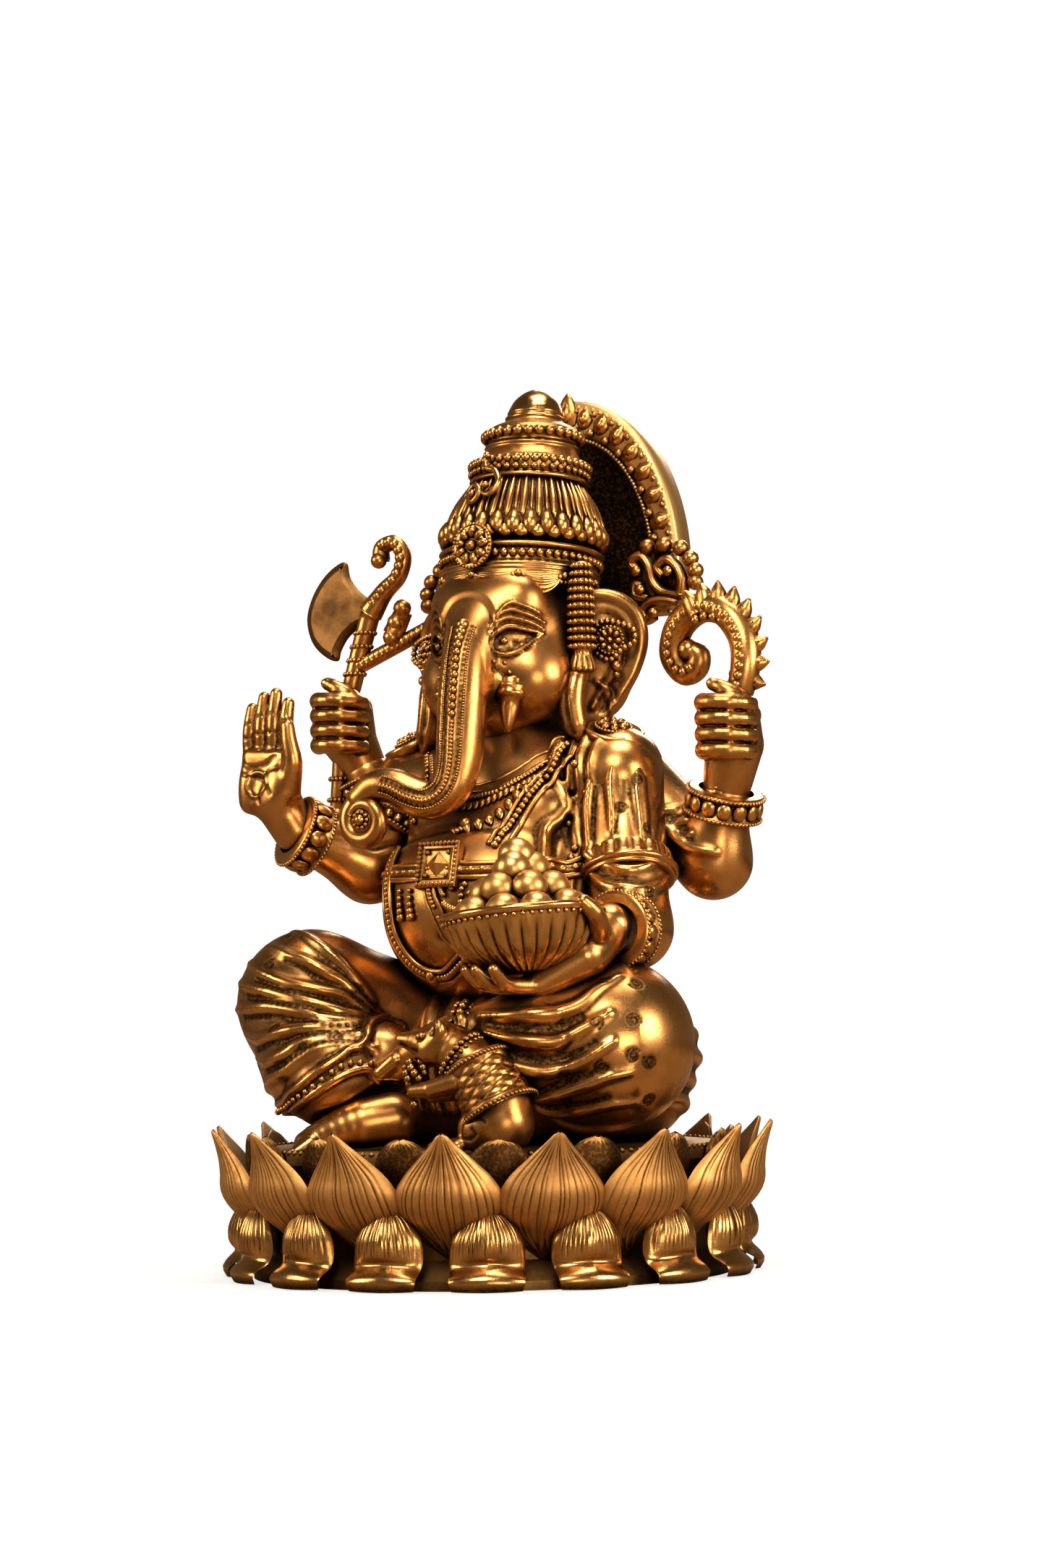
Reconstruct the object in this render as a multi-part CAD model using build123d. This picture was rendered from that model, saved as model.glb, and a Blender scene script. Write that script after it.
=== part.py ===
"""Seated four-armed elephant-headed deity on a double lotus base, cast in brass.

Every piece is a separate casting or turned part that is brazed, pinned or screwed to its
neighbour. The frame has +Z up, the figure faces -Y, its left hand is towards +X, and the origin
is on the surface it stands on, under the middle of the lotus base. Sizes are in millimetres.
"""

import os
from math import atan2, cos, degrees, radians, sin

from build123d import *

# ---- driving dimensions -------------------------------------------------------------------
DECK_Z = 42.0
DECK_RADIUS = 77.0
FOOT_RADIUS = 79.0
DRUM_RADIUS = 72.0
DRUM_WALL = 5.0
DECK_THICKNESS = 5.0

PETAL_COUNT = 15
PETAL_PITCH = 360.0 / PETAL_COUNT
UPPER_PETAL_PHASE = -43.0
LOWER_PETAL_PHASE = UPPER_PETAL_PHASE + PETAL_PITCH / 2

BODY_Y = 22.0
BELLY = dict(centre=(0, 9, 121), radius=40.0, half_height=36.0)
CHEST = dict(centre=(0, 21, 155), radii=(38.0, 27.0, 27.0))
HIPS = dict(centre=(0, 22, 71), radii=(62.0, 44.0, 28.8))

HEAD_CENTRE = (0, 22, 209)
HEAD_RADII = (27.0, 29.0, 29.0)
CROWN_BASE = (0, 25, 237)
CROWN_LEAN = 12.0

HALO_CENTRE = (0, 64, 238)
HALO_WIDTH_RADIUS = 43.0
HALO_HEIGHT_RADIUS = 61.0
HALO_BORDER = 12.0
HALO_THICKNESS = 12.0
HALO_FOOT = 16.0
HALO_PETAL_COUNT = 19
HALO_PETAL_STEP = 10.5

BOWL_CENTRE = (43, -46, 98)
BOWL_TILT = -5.0
BOWL_RADIUS = 26.0
BOWL_DEPTH = 20.0
BOWL_WALL = 2.0
SWEET_RADIUS = 4.7
SWEET_LAYERS = [(11, 17.2, 19.0, 0), (7, 11.2, 25.2, 20), (3, 5.6, 31.0, 40), (1, 0.0, 36.4, 0)]

SHAFT_RADIUS = 3.0
SCREW_RADIUS = 3.0
SCREW_CIRCLE_RADIUS = 24.0
SCREW_COUNT = 4
SMALLEST_SHARE = 0.2


# ---- shapes that several pieces use -------------------------------------------------------
def ball(centre, radius):
    """A sphere at a point."""
    return Pos(*centre) * Sphere(radius)


def ovoid(centre, radii):
    """An ellipsoid at a point, with its own radius along X, Y and Z."""
    return Pos(*centre) * scale(Sphere(1.0), by=radii)


def taper(start, end, start_radius, end_radius):
    """A straight cone frustum from one point to another."""
    run = Vector(*end) - Vector(*start)
    plane = Plane(origin=start, z_dir=run)
    if abs(start_radius - end_radius) < 1e-6:
        return Solid.make_cylinder(start_radius, run.length, plane)
    return Solid.make_cone(start_radius, end_radius, run.length, plane)


def limb(points, radii):
    """A rounded chain of spheres and frustums through the given points."""
    shape = ball(points[0], radii[0])
    for here, there, here_radius, there_radius in zip(points, points[1:], radii, radii[1:]):
        shape += taper(here, there, here_radius, there_radius)
        shape += ball(there, there_radius)
    return shape


def cuff(centre, along, inner, outer, width):
    """A bracelet: a round ring about a limb, with a rounded outside."""
    plane = Plane(origin=centre, z_dir=along)
    ring = Cylinder(outer, width) - Cylinder(inner, width * 2)
    ring = fillet(ring.edges().filter_by(GeomType.CIRCLE).sort_by(SortBy.RADIUS)[-2:], width * 0.3)
    return plane.location * ring


def turned(profile, location=Pos(0, 0, 0)):
    """A solid turned about Z from (radius, height) points that start and end on the axis."""
    outline = Polyline(*[(radius, 0, height) for radius, height in profile], close=True)
    return location * revolve(make_face(outline), Axis.Z)


def around(shape, count, phase):
    """Copies of a shape spaced evenly about Z."""
    return [Rot(0, 0, phase + 360.0 * step / count) * shape for step in range(count)]


# ---- lotus base ---------------------------------------------------------------------------
def base_drum():
    """The hollow cast drum with its deck, open underneath, drilled for the fixing screws."""
    outside = [(0, 0), (FOOT_RADIUS, 0), (FOOT_RADIUS, 3), (DRUM_RADIUS, 9), (DRUM_RADIUS, 34)]
    outside += [(DECK_RADIUS, 38), (DECK_RADIUS, DECK_Z - 1), (DECK_RADIUS - 1, DECK_Z), (0, DECK_Z)]
    drum = turned(outside)
    hollow_radius = DRUM_RADIUS - DRUM_WALL
    drum -= Pos(0, 0, (DECK_Z - DECK_THICKNESS) / 2 - 1) * Cylinder(
        hollow_radius, DECK_Z - DECK_THICKNESS + 2
    )
    for place in screw_places():
        drum -= Pos(place.X, place.Y, DECK_Z) * Cylinder(SCREW_RADIUS, DECK_THICKNESS * 4)
    return drum


def screw_places():
    """Centres of the fixing screws on the deck, under the hips."""
    return [
        Vector(SCREW_CIRCLE_RADIUS * cos(radians(angle)), BODY_Y + SCREW_CIRCLE_RADIUS * sin(radians(angle)), 0)
        for angle in [45 + 360.0 * step / SCREW_COUNT for step in range(SCREW_COUNT)]
    ]


def fixing_screws():
    """Hex-headed screws that clamp the seated figure to the deck from below."""
    head_height = 4.0
    underside = DECK_Z - DECK_THICKNESS
    screws = []
    for place in screw_places():
        head = extrude(Pos(place.X, place.Y, underside - head_height) * RegularPolygon(5.0, 6), head_height)
        shank = Pos(place.X, place.Y, underside + 8) * Cylinder(SCREW_RADIUS - 0.05, 16.0)
        screws.append(head + shank)
    return screws


def petal(sections):
    """A closed petal lofted through ellipses given as (radius, height, half_width, half_depth, lean)."""
    faces = []
    for radius, height, half_width, half_depth, lean in sections:
        section = Plane(origin=(radius, 0, height), x_dir=(0, 1, 0), z_dir=(sin(radians(lean)), 0, cos(radians(lean))))
        faces.append(section * Ellipse(half_width, half_depth))
    return loft(faces)


def upper_petals():
    """The row of petals that rises round the deck."""
    one = petal(
        [(77, 13, 3.0, 3.0, 20), (82, 19, 11.0, 5.5, 25), (85.5, 28, 14.6, 5.5, 18)]
        + [(87.5, 37, 12.0, 4.2, 20), (90.5, 44, 5.6, 2.6, 25), (93, 48.5, 1.2, 1.0, 30)]
    )
    return around(one, PETAL_COUNT, UPPER_PETAL_PHASE)


def lower_petals():
    """The row of downturned petals that hides the foot of the drum."""
    one = petal(
        [(73, 23, 6.0, 3.0, -20), (78, 18, 11.0, 5.5, -25), (82, 11, 13.0, 6.5, -15)]
        + [(84.5, 5, 11.5, 6.0, -10), (86, 0.8, 7.0, 2.8, 0)]
    )
    return around(one, PETAL_COUNT, LOWER_PETAL_PHASE)


# ---- seated figure ------------------------------------------------------------------------
def torso():
    """Chest and pot belly in one casting, with the neck."""
    belly = ovoid(BELLY["centre"], (BELLY["radius"], BELLY["radius"], BELLY["half_height"]))
    chest = ovoid(CHEST["centre"], CHEST["radii"])
    shoulders = limb([(-32, BODY_Y, 166), (32, BODY_Y, 166)], [13, 13])
    neck = taper((0, BODY_Y, 168), (0, BODY_Y + 2, 186), 20, 17)
    return belly + chest + shoulders + neck


def hips():
    """Hips and lap under the draped cloth, flat where they rest on the deck."""
    shape = ovoid(HIPS["centre"], HIPS["radii"])
    return shape - Pos(0, 0, DECK_Z - 50) * Box(200, 200, 100)


def right_leg():
    """The raised right leg, with its cloth gathered at the ankle."""
    return limb(
        [(-26, 8, 72), (-55, -24, 89.5), (-42, -38, 71), (-34, -43.5, 66)], [26, 23.5, 19.5, 13]
    )


def left_leg():
    """The folded left leg, lying with its knee out to the side."""
    return limb([(28, 10, 72), (57, -20, 75), (42, -38, 77), (20, -46, 80)], [27, 26, 18, 8])


def right_foot():
    """The right foot, flat on the deck under the hem."""
    return limb([(-13, -48, 52), (-22, -57, 51), (-33, -63.5, 47)], [9, 8.5, 5])


def left_foot():
    """The left foot, tucked in over the lap."""
    return limb([(14, -49, 78), (2, -52, 72), (-8, -52, 66)], [7.5, 6.5, 5])


def hem_rings():
    """The beaded hems of the cloth round the two ankles."""
    return [
        cuff((-35.5, -42.5, 67.0), (9, -6, -5), 14.6, 18.0, 4.0),
        cuff((24, -44.5, 79.5), (-22, -8, 3), 8.5, 11.0, 3.0),
    ]


# ---- arms ---------------------------------------------------------------------------------
SHOULDER_R = (-40, 20, 165)
SHOULDER_L = (40, 20, 165)
ELBOW_FRONT_R = (-47, 0, 136)
WRIST_FRONT_R = (-61, -24, 148)
ELBOW_FRONT_L = (55, 0, 112)
WRIST_FRONT_L = (61, -25, 112)
REAR_SHOULDER_R = (-38, 31, 164)
REAR_SHOULDER_L = (38, 31, 164)
ELBOW_REAR_R = (-58, 34, 144)
WRIST_REAR_R = (-67, 29, 170)
ELBOW_REAR_L = (69.5, 30, 134.5)
WRIST_REAR_L = (76.5, 26, 155)


def front_right_arm():
    """Upper arm and forearm of the hand raised in blessing."""
    return limb([SHOULDER_R, ELBOW_FRONT_R, WRIST_FRONT_R], [14, 11.5, 7.5])


def front_left_arm():
    """Upper arm and forearm of the hand that carries the bowl."""
    return limb([SHOULDER_L, ELBOW_FRONT_L, WRIST_FRONT_L], [15, 12.5, 8])


def rear_right_arm():
    """Upper arm and forearm of the hand that holds the axe."""
    return limb([REAR_SHOULDER_R, ELBOW_REAR_R, WRIST_REAR_R], [12, 10, 7.5])


def rear_left_arm():
    """Upper arm and forearm of the hand that holds the goad."""
    return limb([REAR_SHOULDER_L, ELBOW_REAR_L, WRIST_REAR_L], [12, 12.3, 9])


def blessing_hand():
    """The open right palm, with its thumb and four fingers held upright."""
    palm = Pos(-68, -29, 165) * Rot(0, 4, 0) * fillet(Box(20, 8, 22).edges(), 3.5)
    shape = palm + taper(WRIST_FRONT_R, (-67, -28, 158), 7, 7.5)
    finger_length = (17.5, 21.0, 22.0, 18.5)
    for index, length in enumerate(finger_length):
        x = -75.2 + 4.9 * index
        shape += limb([(x, -29, 174), (x + 1.4, -28.5, 174 + length)], [2.6, 2.1])
    return shape + limb([(-59, -30, 164), (-56, -32, 174), (-57, -33, 182)], [3.5, 3.0, 2.3])


def fist(centre, forearm_end):
    """A closed hand round a shaft: palm, four curled fingers and a thumb."""
    x, y, z = centre
    shape = limb([forearm_end, (x, y + 3, z - 5), (x, y + 3, z + 5)], [7.5, 10, 8.5])
    for row in range(4):
        height = z + 8 - 5.2 * row
        shape += limb([(x - 9, y - 1, height), (x, y - 10, height), (x + 8, y - 3, height)], [2.8, 3.0, 2.6])
    return shape + limb([(x + 7, y + 2, z + 7), (x + 2, y - 7, z + 13)], [3.6, 2.8])


FIST_R = (-73, 24, 187)
FIST_L = (81, 22, 177)


def axe_hand():
    """The rear right hand, closed round the axe shaft."""
    return fist(FIST_R, WRIST_REAR_R)


def goad_hand():
    """The rear left hand, closed round the goad shaft."""
    return fist(FIST_L, WRIST_REAR_L)


def bowl_hand():
    """The front left hand, open under the bowl."""
    shape = limb([WRIST_FRONT_L, (58, -38, 101), (46, -45, 95)], [7, 6.5, 5.5])
    for index in range(4):
        angle = radians(200 + 22 * index)
        tip = (44 + 19 * cos(angle), -46 + 17 * sin(angle), 99)
        shape += limb([(47 + 3 * cos(angle), -45 + 3 * sin(angle), 94.5), tip], [3.4, 2.3])
    return shape


# ---- head ---------------------------------------------------------------------------------
def head():
    """The elephant head, with its cheeks and jaw."""
    skull = ovoid(HEAD_CENTRE, HEAD_RADII)
    cheeks = ball((-12, 10, 196), 14) + ball((12, 10, 196), 14)
    return skull + cheeks + ovoid((0, 8, 184), (10, 11, 7))


TRUNK_PATH = [(0, -8, 218), (0, -16, 201), (0, -20, 184), (-1, -23, 169), (-4, -26, 159), (-14, -28, 157)]
TRUNK_PATH += [(-24, -30, 160), (-31, -31, 157)]
TRUNK_RADII = [11, 11, 10.8, 10.8, 10.5, 8.8, 7.5, 5.8]
TRUNK_CURL = (-25, -32, 147)


def trunk():
    """The trunk, hanging down the front and turned up to the figure's right."""
    curl = Pos(*TRUNK_CURL) * Rot(90, 0, 0) * Torus(6.5, 3.5)
    curl += Pos(*TRUNK_CURL) * Rot(90, 0, 0) * Cylinder(4.5, 5)
    return limb(TRUNK_PATH, TRUNK_RADII) + curl


def ear(side):
    """A broad thin ear with a drawn-down lobe; side is +1 for the left ear and -1 for the right."""
    outline = Polyline(
        [(0, 231), (14, 233), (26, 226), (29, 214), (24, 202), (12, 192), (5, 184), (1, 175)]
        + [(-4, 180), (-3, 195), (-5, 212)],
        close=True,
    )
    plate = extrude(make_face(Plane.XZ * outline), 3.0, both=True)
    plate = Rot(0, 0, 28) * plate
    plate = Pos(23, 22, 0) * plate
    return plate if side > 0 else mirror(plate, Plane.YZ)


def tusk(side, length):
    """A tusk with its collar; the figure's right tusk is the broken one."""
    root = (side * 13.5, -2, 190)
    tip = (side * 15.5, -8, 190 - length)
    return taper(root, tip, 3.4, 1.6) + ball(tip, 1.6) + cuff((side * 13.8, -3, 189), (side * 2, -6, -length), 2.4, 4.8, 3)


# ---- crown --------------------------------------------------------------------------------
def on_crown(height):
    """The location on the leaning crown axis at a height above the crown's foot."""
    return Pos(*CROWN_BASE) * Rot(-CROWN_LEAN, 0, 0) * Pos(0, 0, height)


def crown_band():
    """The fitted circlet round the forehead."""
    profile = [(0, 0), (27, 0), (28, 1), (28, 4), (27, 5), (27.5, 9), (28.5, 10), (28.5, 12), (0, 12)]
    return turned(profile, on_crown(-3))


def crown_dome():
    """The ribbed dome that rises from the circlet."""
    profile = [(0, 0), (26.5, 0), (27.5, 3), (26, 7), (23, 14), (20, 20), (18, 24), (0, 24)]
    return turned(profile, on_crown(9))


def crown_tiers():
    """The two stacked beaded discs over the dome."""
    profile = [(0, 0), (19, 0), (21.5, 2.5), (21.5, 5), (17, 8), (15, 11), (17, 13), (17, 16), (11, 19.5), (0, 19.5)]
    return turned(profile, on_crown(33))


def crown_finial():
    """The domed finial at the top."""
    profile = [(0, 0), (9.5, 0), (10, 2), (9, 6), (6.5, 9.5), (3, 11.6), (0, 12.2)]
    return turned(profile, on_crown(52.5))


def crown_flower():
    """The flower rosette at the front of the crown."""
    petals = [
        Pos(-1 + 6.5 * cos(radians(60 * step)), -4.4, 241.5 + 6.5 * sin(radians(60 * step))) * Sphere(3.0)
        for step in range(6)
    ]
    flower = Pos(-1, -2.5, 241.5) * Rot(90, 0, 0) * Cylinder(7.5, 7)
    for one in petals:
        flower += one
    return flower


def crown_tassel(side):
    """The hanging strings of beads beside the face."""
    x = side * 30
    strings = taper((x, 15, 240), (x, 14.5, 235), 3.0, 3.5)
    return strings + taper((x, 14.5, 235), (x * 1.02, 13.5, 203), 3.8, 4.4)


# ---- halo ---------------------------------------------------------------------------------
def halo_disc():
    """The thick arched halo plate, dished at the front, with its boss against the head."""
    x, y, z = HALO_CENTRE
    front = y - HALO_THICKNESS / 2
    outline = Ellipse(HALO_WIDTH_RADIUS, HALO_HEIGHT_RADIUS)
    dish = Ellipse(HALO_WIDTH_RADIUS - HALO_BORDER, HALO_HEIGHT_RADIUS - HALO_BORDER)
    stand = Pos(x, front, z) * Rot(90, 0, 0)
    plate = stand * extrude(outline, -HALO_THICKNESS)
    plate = fillet(plate.edges().sort_by(Axis.Y)[0:1] + plate.edges().sort_by(Axis.Y)[-1:], 2.0)
    plate -= stand * extrude(dish, -4.0)
    plate -= Pos(x, y, z - HALO_FOOT - 50) * Box(200, 100, 100)
    return plate + taper((0, 46, 243), (x, y - 3, 240), 13, 15)


def halo_petals():
    """The leaf border of the halo with its tall leaf at the top."""
    x, y, z = HALO_CENTRE
    wide = HALO_WIDTH_RADIUS - HALO_BORDER / 2
    tall = HALO_HEIGHT_RADIUS - HALO_BORDER / 2
    front = y - HALO_THICKNESS / 2
    solids = []
    for step in range(HALO_PETAL_COUNT):
        angle = HALO_PETAL_STEP * (step - (HALO_PETAL_COUNT - 1) / 2)
        if abs(angle) < 1:
            solids.append(ovoid((x, front, z + HALO_HEIGHT_RADIUS - 5), (5.0, 3.0, 7.8)))
            continue
        place = Pos(x + wide * sin(radians(angle)), front, z + tall * cos(radians(angle)))
        turn = degrees(atan2(sin(radians(angle)) * tall, cos(radians(angle)) * wide))
        solids.append(place * Rot(0, turn, 0) * ovoid((0, 0, 0), (3.0, 2.4, 5.0)))
    return solids


def halo_scroll(side):
    """The scrolled terminal where the halo meets the ear, with its run of round beads."""
    path = [(side * 32, 53, 235), (side * 35.5, 51.5, 227), (side * 41, 50, 222), (side * 46, 49, 227)]
    path += [(side * 42, 50, 231.5)]
    shape = limb(path, [4.2, 3.6, 3.4, 3.1, 2.6])
    return shape + limb([(side * 37, 52, 239), (side * 43.5, 50, 236.5), (side * 49.5, 48.5, 230.5)], [3.3, 3.0, 3.1])


# ---- held attributes ----------------------------------------------------------------------
AXE_CENTRE = (-62, 25, 226)


def axe_shaft():
    """The beaded axe shaft, with its scrolled head and the strut that ties it to the ear."""
    scroll_top = [AXE_CENTRE, (-56, 25, 233), (-49.5, 25, 239), (-48.5, 25, 246), (-53.5, 25, 249.5), (-57, 25, 245)]
    shape = limb([(-77, 25, 156), AXE_CENTRE], [SHAFT_RADIUS, SHAFT_RADIUS + 0.6])
    shape += limb(scroll_top, [4.5, 3.6, 3.2, 3.2, 3.4, 3.8])
    strut = limb([(-66, 25, 208), (-54, 29, 214), (-43, 33, 220)], [3.0, 3.4, 3.0])
    return shape + strut + limb([(-54, 27, 218), (-50, 28, 226)], [4.0, 4.0])


def axe_blade():
    """The crescent blade."""
    blade = Pos(-71.5, 25, 228) * Rot(90, 0, 0) * Cylinder(17.8, 3.2)
    blade -= Pos(-57, 25, 246) * Rot(90, 0, 0) * Cylinder(15.5, 10)
    blade -= Pos(-62, 25, 208) * Rot(90, 0, 0) * Cylinder(14.5, 10)
    return blade - Pos(-44, 25, 228) * Box(30, 20, 60)


def goad():
    """The goad: a shaft that curves over into a scroll, with a row of leaves on its back."""
    spine = [(77, 22, 156), (82, 22, 180), (87, 22, 196), (86, 23, 207), (79, 24, 216), (69, 26, 218)]
    spine += [(60, 28, 213), (56.5, 29, 204), (60, 30, 197.5), (66, 29, 199)]
    shape = limb(spine, [3, 3, 3.2, 3.4, 3.4, 3.4, 3.4, 3.4, 3.4, 4.0])
    for step in range(9):
        angle = radians(-28 + 17.5 * step)
        root = (74 + 12.5 * cos(angle), 23, 201 + 15 * sin(angle))
        tip = (74 + 21.5 * cos(angle), 23, 201 + 25.5 * sin(angle))
        shape += taper(root, tip, 3.4, 0.9)
    return shape


# ---- offering bowl ------------------------------------------------------------------------
def sweet_bowl():
    """The fluted offering bowl with its rolled rim."""
    outside = [(0, 0), (9, 0), (16, 3), (22, 9), (25, 16), (BOWL_RADIUS, 19), (BOWL_RADIUS, BOWL_DEPTH)]
    inside = [(23.5, BOWL_DEPTH), (22.8, 16), (20, 10.5), (14.5, 5.5), (0, 3.5)]
    return turned(outside + inside, Pos(*BOWL_CENTRE) * Rot(0, BOWL_TILT, 0))


def sweets():
    """The heap of round sweets, cast as one piece that fills the bowl."""
    seat = Pos(*BOWL_CENTRE) * Rot(0, BOWL_TILT, 0)
    heap = turned([(0, 3.6), (14.4, 5.6), (19.9, 10.6), (22.5, 16), (19, 19.5), (10, 28), (0, 32)], seat)
    for count, radius, height, phase in SWEET_LAYERS:
        for step in range(count):
            angle = radians(phase + 360.0 * step / count)
            heap += seat * Pos(radius * cos(angle), radius * sin(angle), height) * Sphere(SWEET_RADIUS)
    return heap


# ---- mouse --------------------------------------------------------------------------------
def mouse_body():
    """The mouse that sits up in front, with its haunch and forepaws."""
    shape = limb([(41, -59, 51), (36, -58, 64), (24, -60, 74)], [10, 10, 6.8])
    shape += limb([(24, -60, 74), (15, -62, 72), (8, -63.5, 69)], [6.8, 5.2, 3.0])
    shape += ball((36, -65, 49), 6.5)
    shape += limb([(29, -63, 64), (18, -65, 61)], [4, 3])
    shape += ball((24, -65.5, 81), 2.6)
    return shape + ball((29, -55.5, 82), 2.6)


def mouse_saddle():
    """The quilted saddle cloth over the mouse's back."""
    cloth = taper((42, -59, 52), (33, -58, 70), 11.8, 10.2) - taper((43, -59, 49), (32, -58, 73), 10.6, 8.9)
    return cloth - Pos(24, -58, 57) * Rot(0, -25, 0) * Box(16, 40, 60)


# ---- ornaments ----------------------------------------------------------------------------
def shoulder_disc(side):
    """The flower epaulette on a shoulder."""
    x = side * 40
    disc = Pos(x, 18, 178) * Rot(0, side * 20, 0) * Cylinder(9.5, 3)
    return disc + Pos(x + side * 0.6, 18, 180) * Rot(0, side * 20, 0) * Cone(7, 2, 4.5)


def belt():
    """The sash round the belly."""
    wide = ovoid(BELLY["centre"], (BELLY["radius"] + 1.6, BELLY["radius"] + 1.6, BELLY["half_height"] + 2))
    return wide & Pos(0, 9, 133) * Cylinder(60, 8)


def belt_clasp():
    """The square clasp with its raised diamond."""
    plate = Pos(0, -29.5, 134) * Rot(-14, 0, 0) * Box(15, 3, 16)
    return plate + Pos(0, -31, 134.4) * Rot(-14, 0, 0) * Rot(90, 0, 0) * Rot(0, 0, 45) * Cone(5.5, 1, 3)


def garland():
    """The long beaded garland that hangs from the shoulders over the belly."""
    ring = ovoid(BELLY["centre"], (BELLY["radius"] + 2.4, BELLY["radius"] + 2.4, BELLY["half_height"] + 2.4))
    shape = ring & Pos(0, -30, 120) * Rot(90, 0, 0) * (Cylinder(31, 60) - Cylinder(26.5, 60))
    return shape - Pos(0, 0, 150) * Box(120, 200, 50)


def ear_pendant(side):
    """The flower earring."""
    shape = Pos(side * 37, 25, 208) * Rot(90, 0, side * 28) * Cylinder(6.5, 3)
    return shape + ball((side * 38.5, 23.5, 200), 2.6)


BRACELETS = {
    "blessing_bracelet": cuff((-59, -20.5, 146), (-14, -24, 12), 8.6, 12.5, 10),
    "bowl_bracelet": cuff((63.2, -21, 111), (-0.5, -25, 1), 8.9, 12.5, 8),
    "axe_bracelet": cuff((-65.6, 29.8, 166), (-9, -5, 26), 8.3, 11, 7),
    "goad_bracelet": cuff((75.8, 26.4, 153), (7, -4, 20.5), 9.6, 13.2, 9),
    "left_armlet": cuff((49.5, 8, 132), (15, -20, -53), 13.7, 16.5, 6),
    "right_armlet": cuff((-44.2, 8, 147.6), (-7, -20, -29), 12.8, 15.4, 6),
}


def make_nodes():
    """Every piece by its name, in the order in which the castings are fitted to each other."""
    nodes = {
        "base_drum": base_drum(),
        "fixing_screws": fixing_screws(),
        "upper_petals": upper_petals(),
        "lower_petals": lower_petals(),
        "torso": torso(),
        "head": head(),
        "crown_band": crown_band(),
        "crown_dome": crown_dome(),
        "crown_tiers": crown_tiers(),
        "crown_finial": crown_finial(),
        "hips": hips(),
        "sweet_bowl": sweet_bowl(),
        "sweets": sweets(),
        "left_tusk": tusk(1, 12),
        "right_tusk": tusk(-1, 6),
        "trunk": trunk(),
        "left_ear": ear(1),
        "right_ear": ear(-1),
        "belt": belt(),
        "belt_clasp": belt_clasp(),
        "garland": garland(),
        "shoulder_disc_left": shoulder_disc(1),
        "shoulder_disc_right": shoulder_disc(-1),
        "right_leg": right_leg(),
        "left_leg": left_leg(),
        "hem_rings": hem_rings(),
        "right_foot": right_foot(),
        "left_foot": left_foot(),
        "mouse_body": mouse_body(),
        "mouse_saddle": mouse_saddle(),
        **BRACELETS,
        "axe_shaft": axe_shaft(),
        "axe_blade": axe_blade(),
        "goad": goad(),
        "front_right_arm": front_right_arm(),
        "front_left_arm": front_left_arm(),
        "rear_right_arm": rear_right_arm(),
        "rear_left_arm": rear_left_arm(),
        "blessing_hand": blessing_hand(),
        "bowl_hand": bowl_hand(),
        "axe_hand": axe_hand(),
        "goad_hand": goad_hand(),
        "crown_flower": crown_flower(),
        "crown_tassel_left": crown_tassel(1),
        "crown_tassel_right": crown_tassel(-1),
        "ear_pendant_left": ear_pendant(1),
        "ear_pendant_right": ear_pendant(-1),
        "halo_petals": halo_petals(),
        "halo_disc": halo_disc(),
        "halo_scroll_left": halo_scroll(1),
        "halo_scroll_right": halo_scroll(-1),
    }
    return nodes


def overlaps(box, other):
    """True where two bounding boxes meet."""
    low, high = tuple(box.min), tuple(box.max)
    other_low, other_high = tuple(other.min), tuple(other.max)
    return all(low[k] < other_high[k] and other_low[k] < high[k] for k in range(3))


def seat(nodes):
    """Cuts each piece back where it meets the pieces fitted before it, and drops the chips."""
    fitted, done = {}, []
    for name, shape in nodes.items():
        wanted = [s for one in (shape if isinstance(shape, list) else [shape]) for s in one.solids()]
        kept = []
        for solid in wanted:
            box = solid.bounding_box()
            for cutter, cutter_box in done:
                if overlaps(box, cutter_box):
                    solid = solid - cutter
            kept += solid.solids()
        largest = max(s.volume for s in kept)
        kept = [s for s in kept if s.volume > SMALLEST_SHARE * largest]
        fitted[name] = kept
        done += [(s, s.bounding_box()) for s in kept]
        print(name, len(kept), round(sum(s.volume for s in kept)))
    return fitted


def main():
    """Fits the pieces together and writes one STEP file for each."""
    os.makedirs("parts", exist_ok=True)
    for name, solids in seat(make_nodes()).items():
        export_step(solids[0] if len(solids) == 1 else Compound(solids), f"parts/{name}.step")


main()
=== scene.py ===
"""The look of a seated, four-armed, elephant-headed deity cast in brass on a double lotus base.

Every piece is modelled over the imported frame: cloth, face and hands are carved from clay blocks,
beads, leaves, petals and scrolls are stamped or swept. Sizes are in millimetres until an object
is made. +Z is up, the figure faces -Y and its left hand is towards +X.
"""
import logging
import math
from collections.abc import Sequence
from dataclasses import dataclass, field
from enum import Enum

import bpy
import numpy as np
from mathutils import Matrix, Vector
from mathutils.geometry import tessellate_polygon


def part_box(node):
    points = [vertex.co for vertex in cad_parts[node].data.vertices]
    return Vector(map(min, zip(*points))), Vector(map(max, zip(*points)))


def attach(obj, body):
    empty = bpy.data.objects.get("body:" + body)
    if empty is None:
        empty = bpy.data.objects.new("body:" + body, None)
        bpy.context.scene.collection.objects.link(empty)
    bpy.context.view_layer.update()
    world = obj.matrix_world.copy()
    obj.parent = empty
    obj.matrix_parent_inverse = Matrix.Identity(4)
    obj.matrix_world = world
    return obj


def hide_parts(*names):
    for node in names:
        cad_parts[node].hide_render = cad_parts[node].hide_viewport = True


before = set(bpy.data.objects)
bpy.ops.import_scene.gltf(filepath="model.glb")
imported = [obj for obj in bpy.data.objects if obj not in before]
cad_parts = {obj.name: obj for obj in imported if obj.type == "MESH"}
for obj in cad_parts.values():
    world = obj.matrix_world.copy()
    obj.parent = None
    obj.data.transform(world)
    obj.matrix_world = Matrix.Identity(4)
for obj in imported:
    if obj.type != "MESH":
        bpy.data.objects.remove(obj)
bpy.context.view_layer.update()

MM = 0.001
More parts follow.
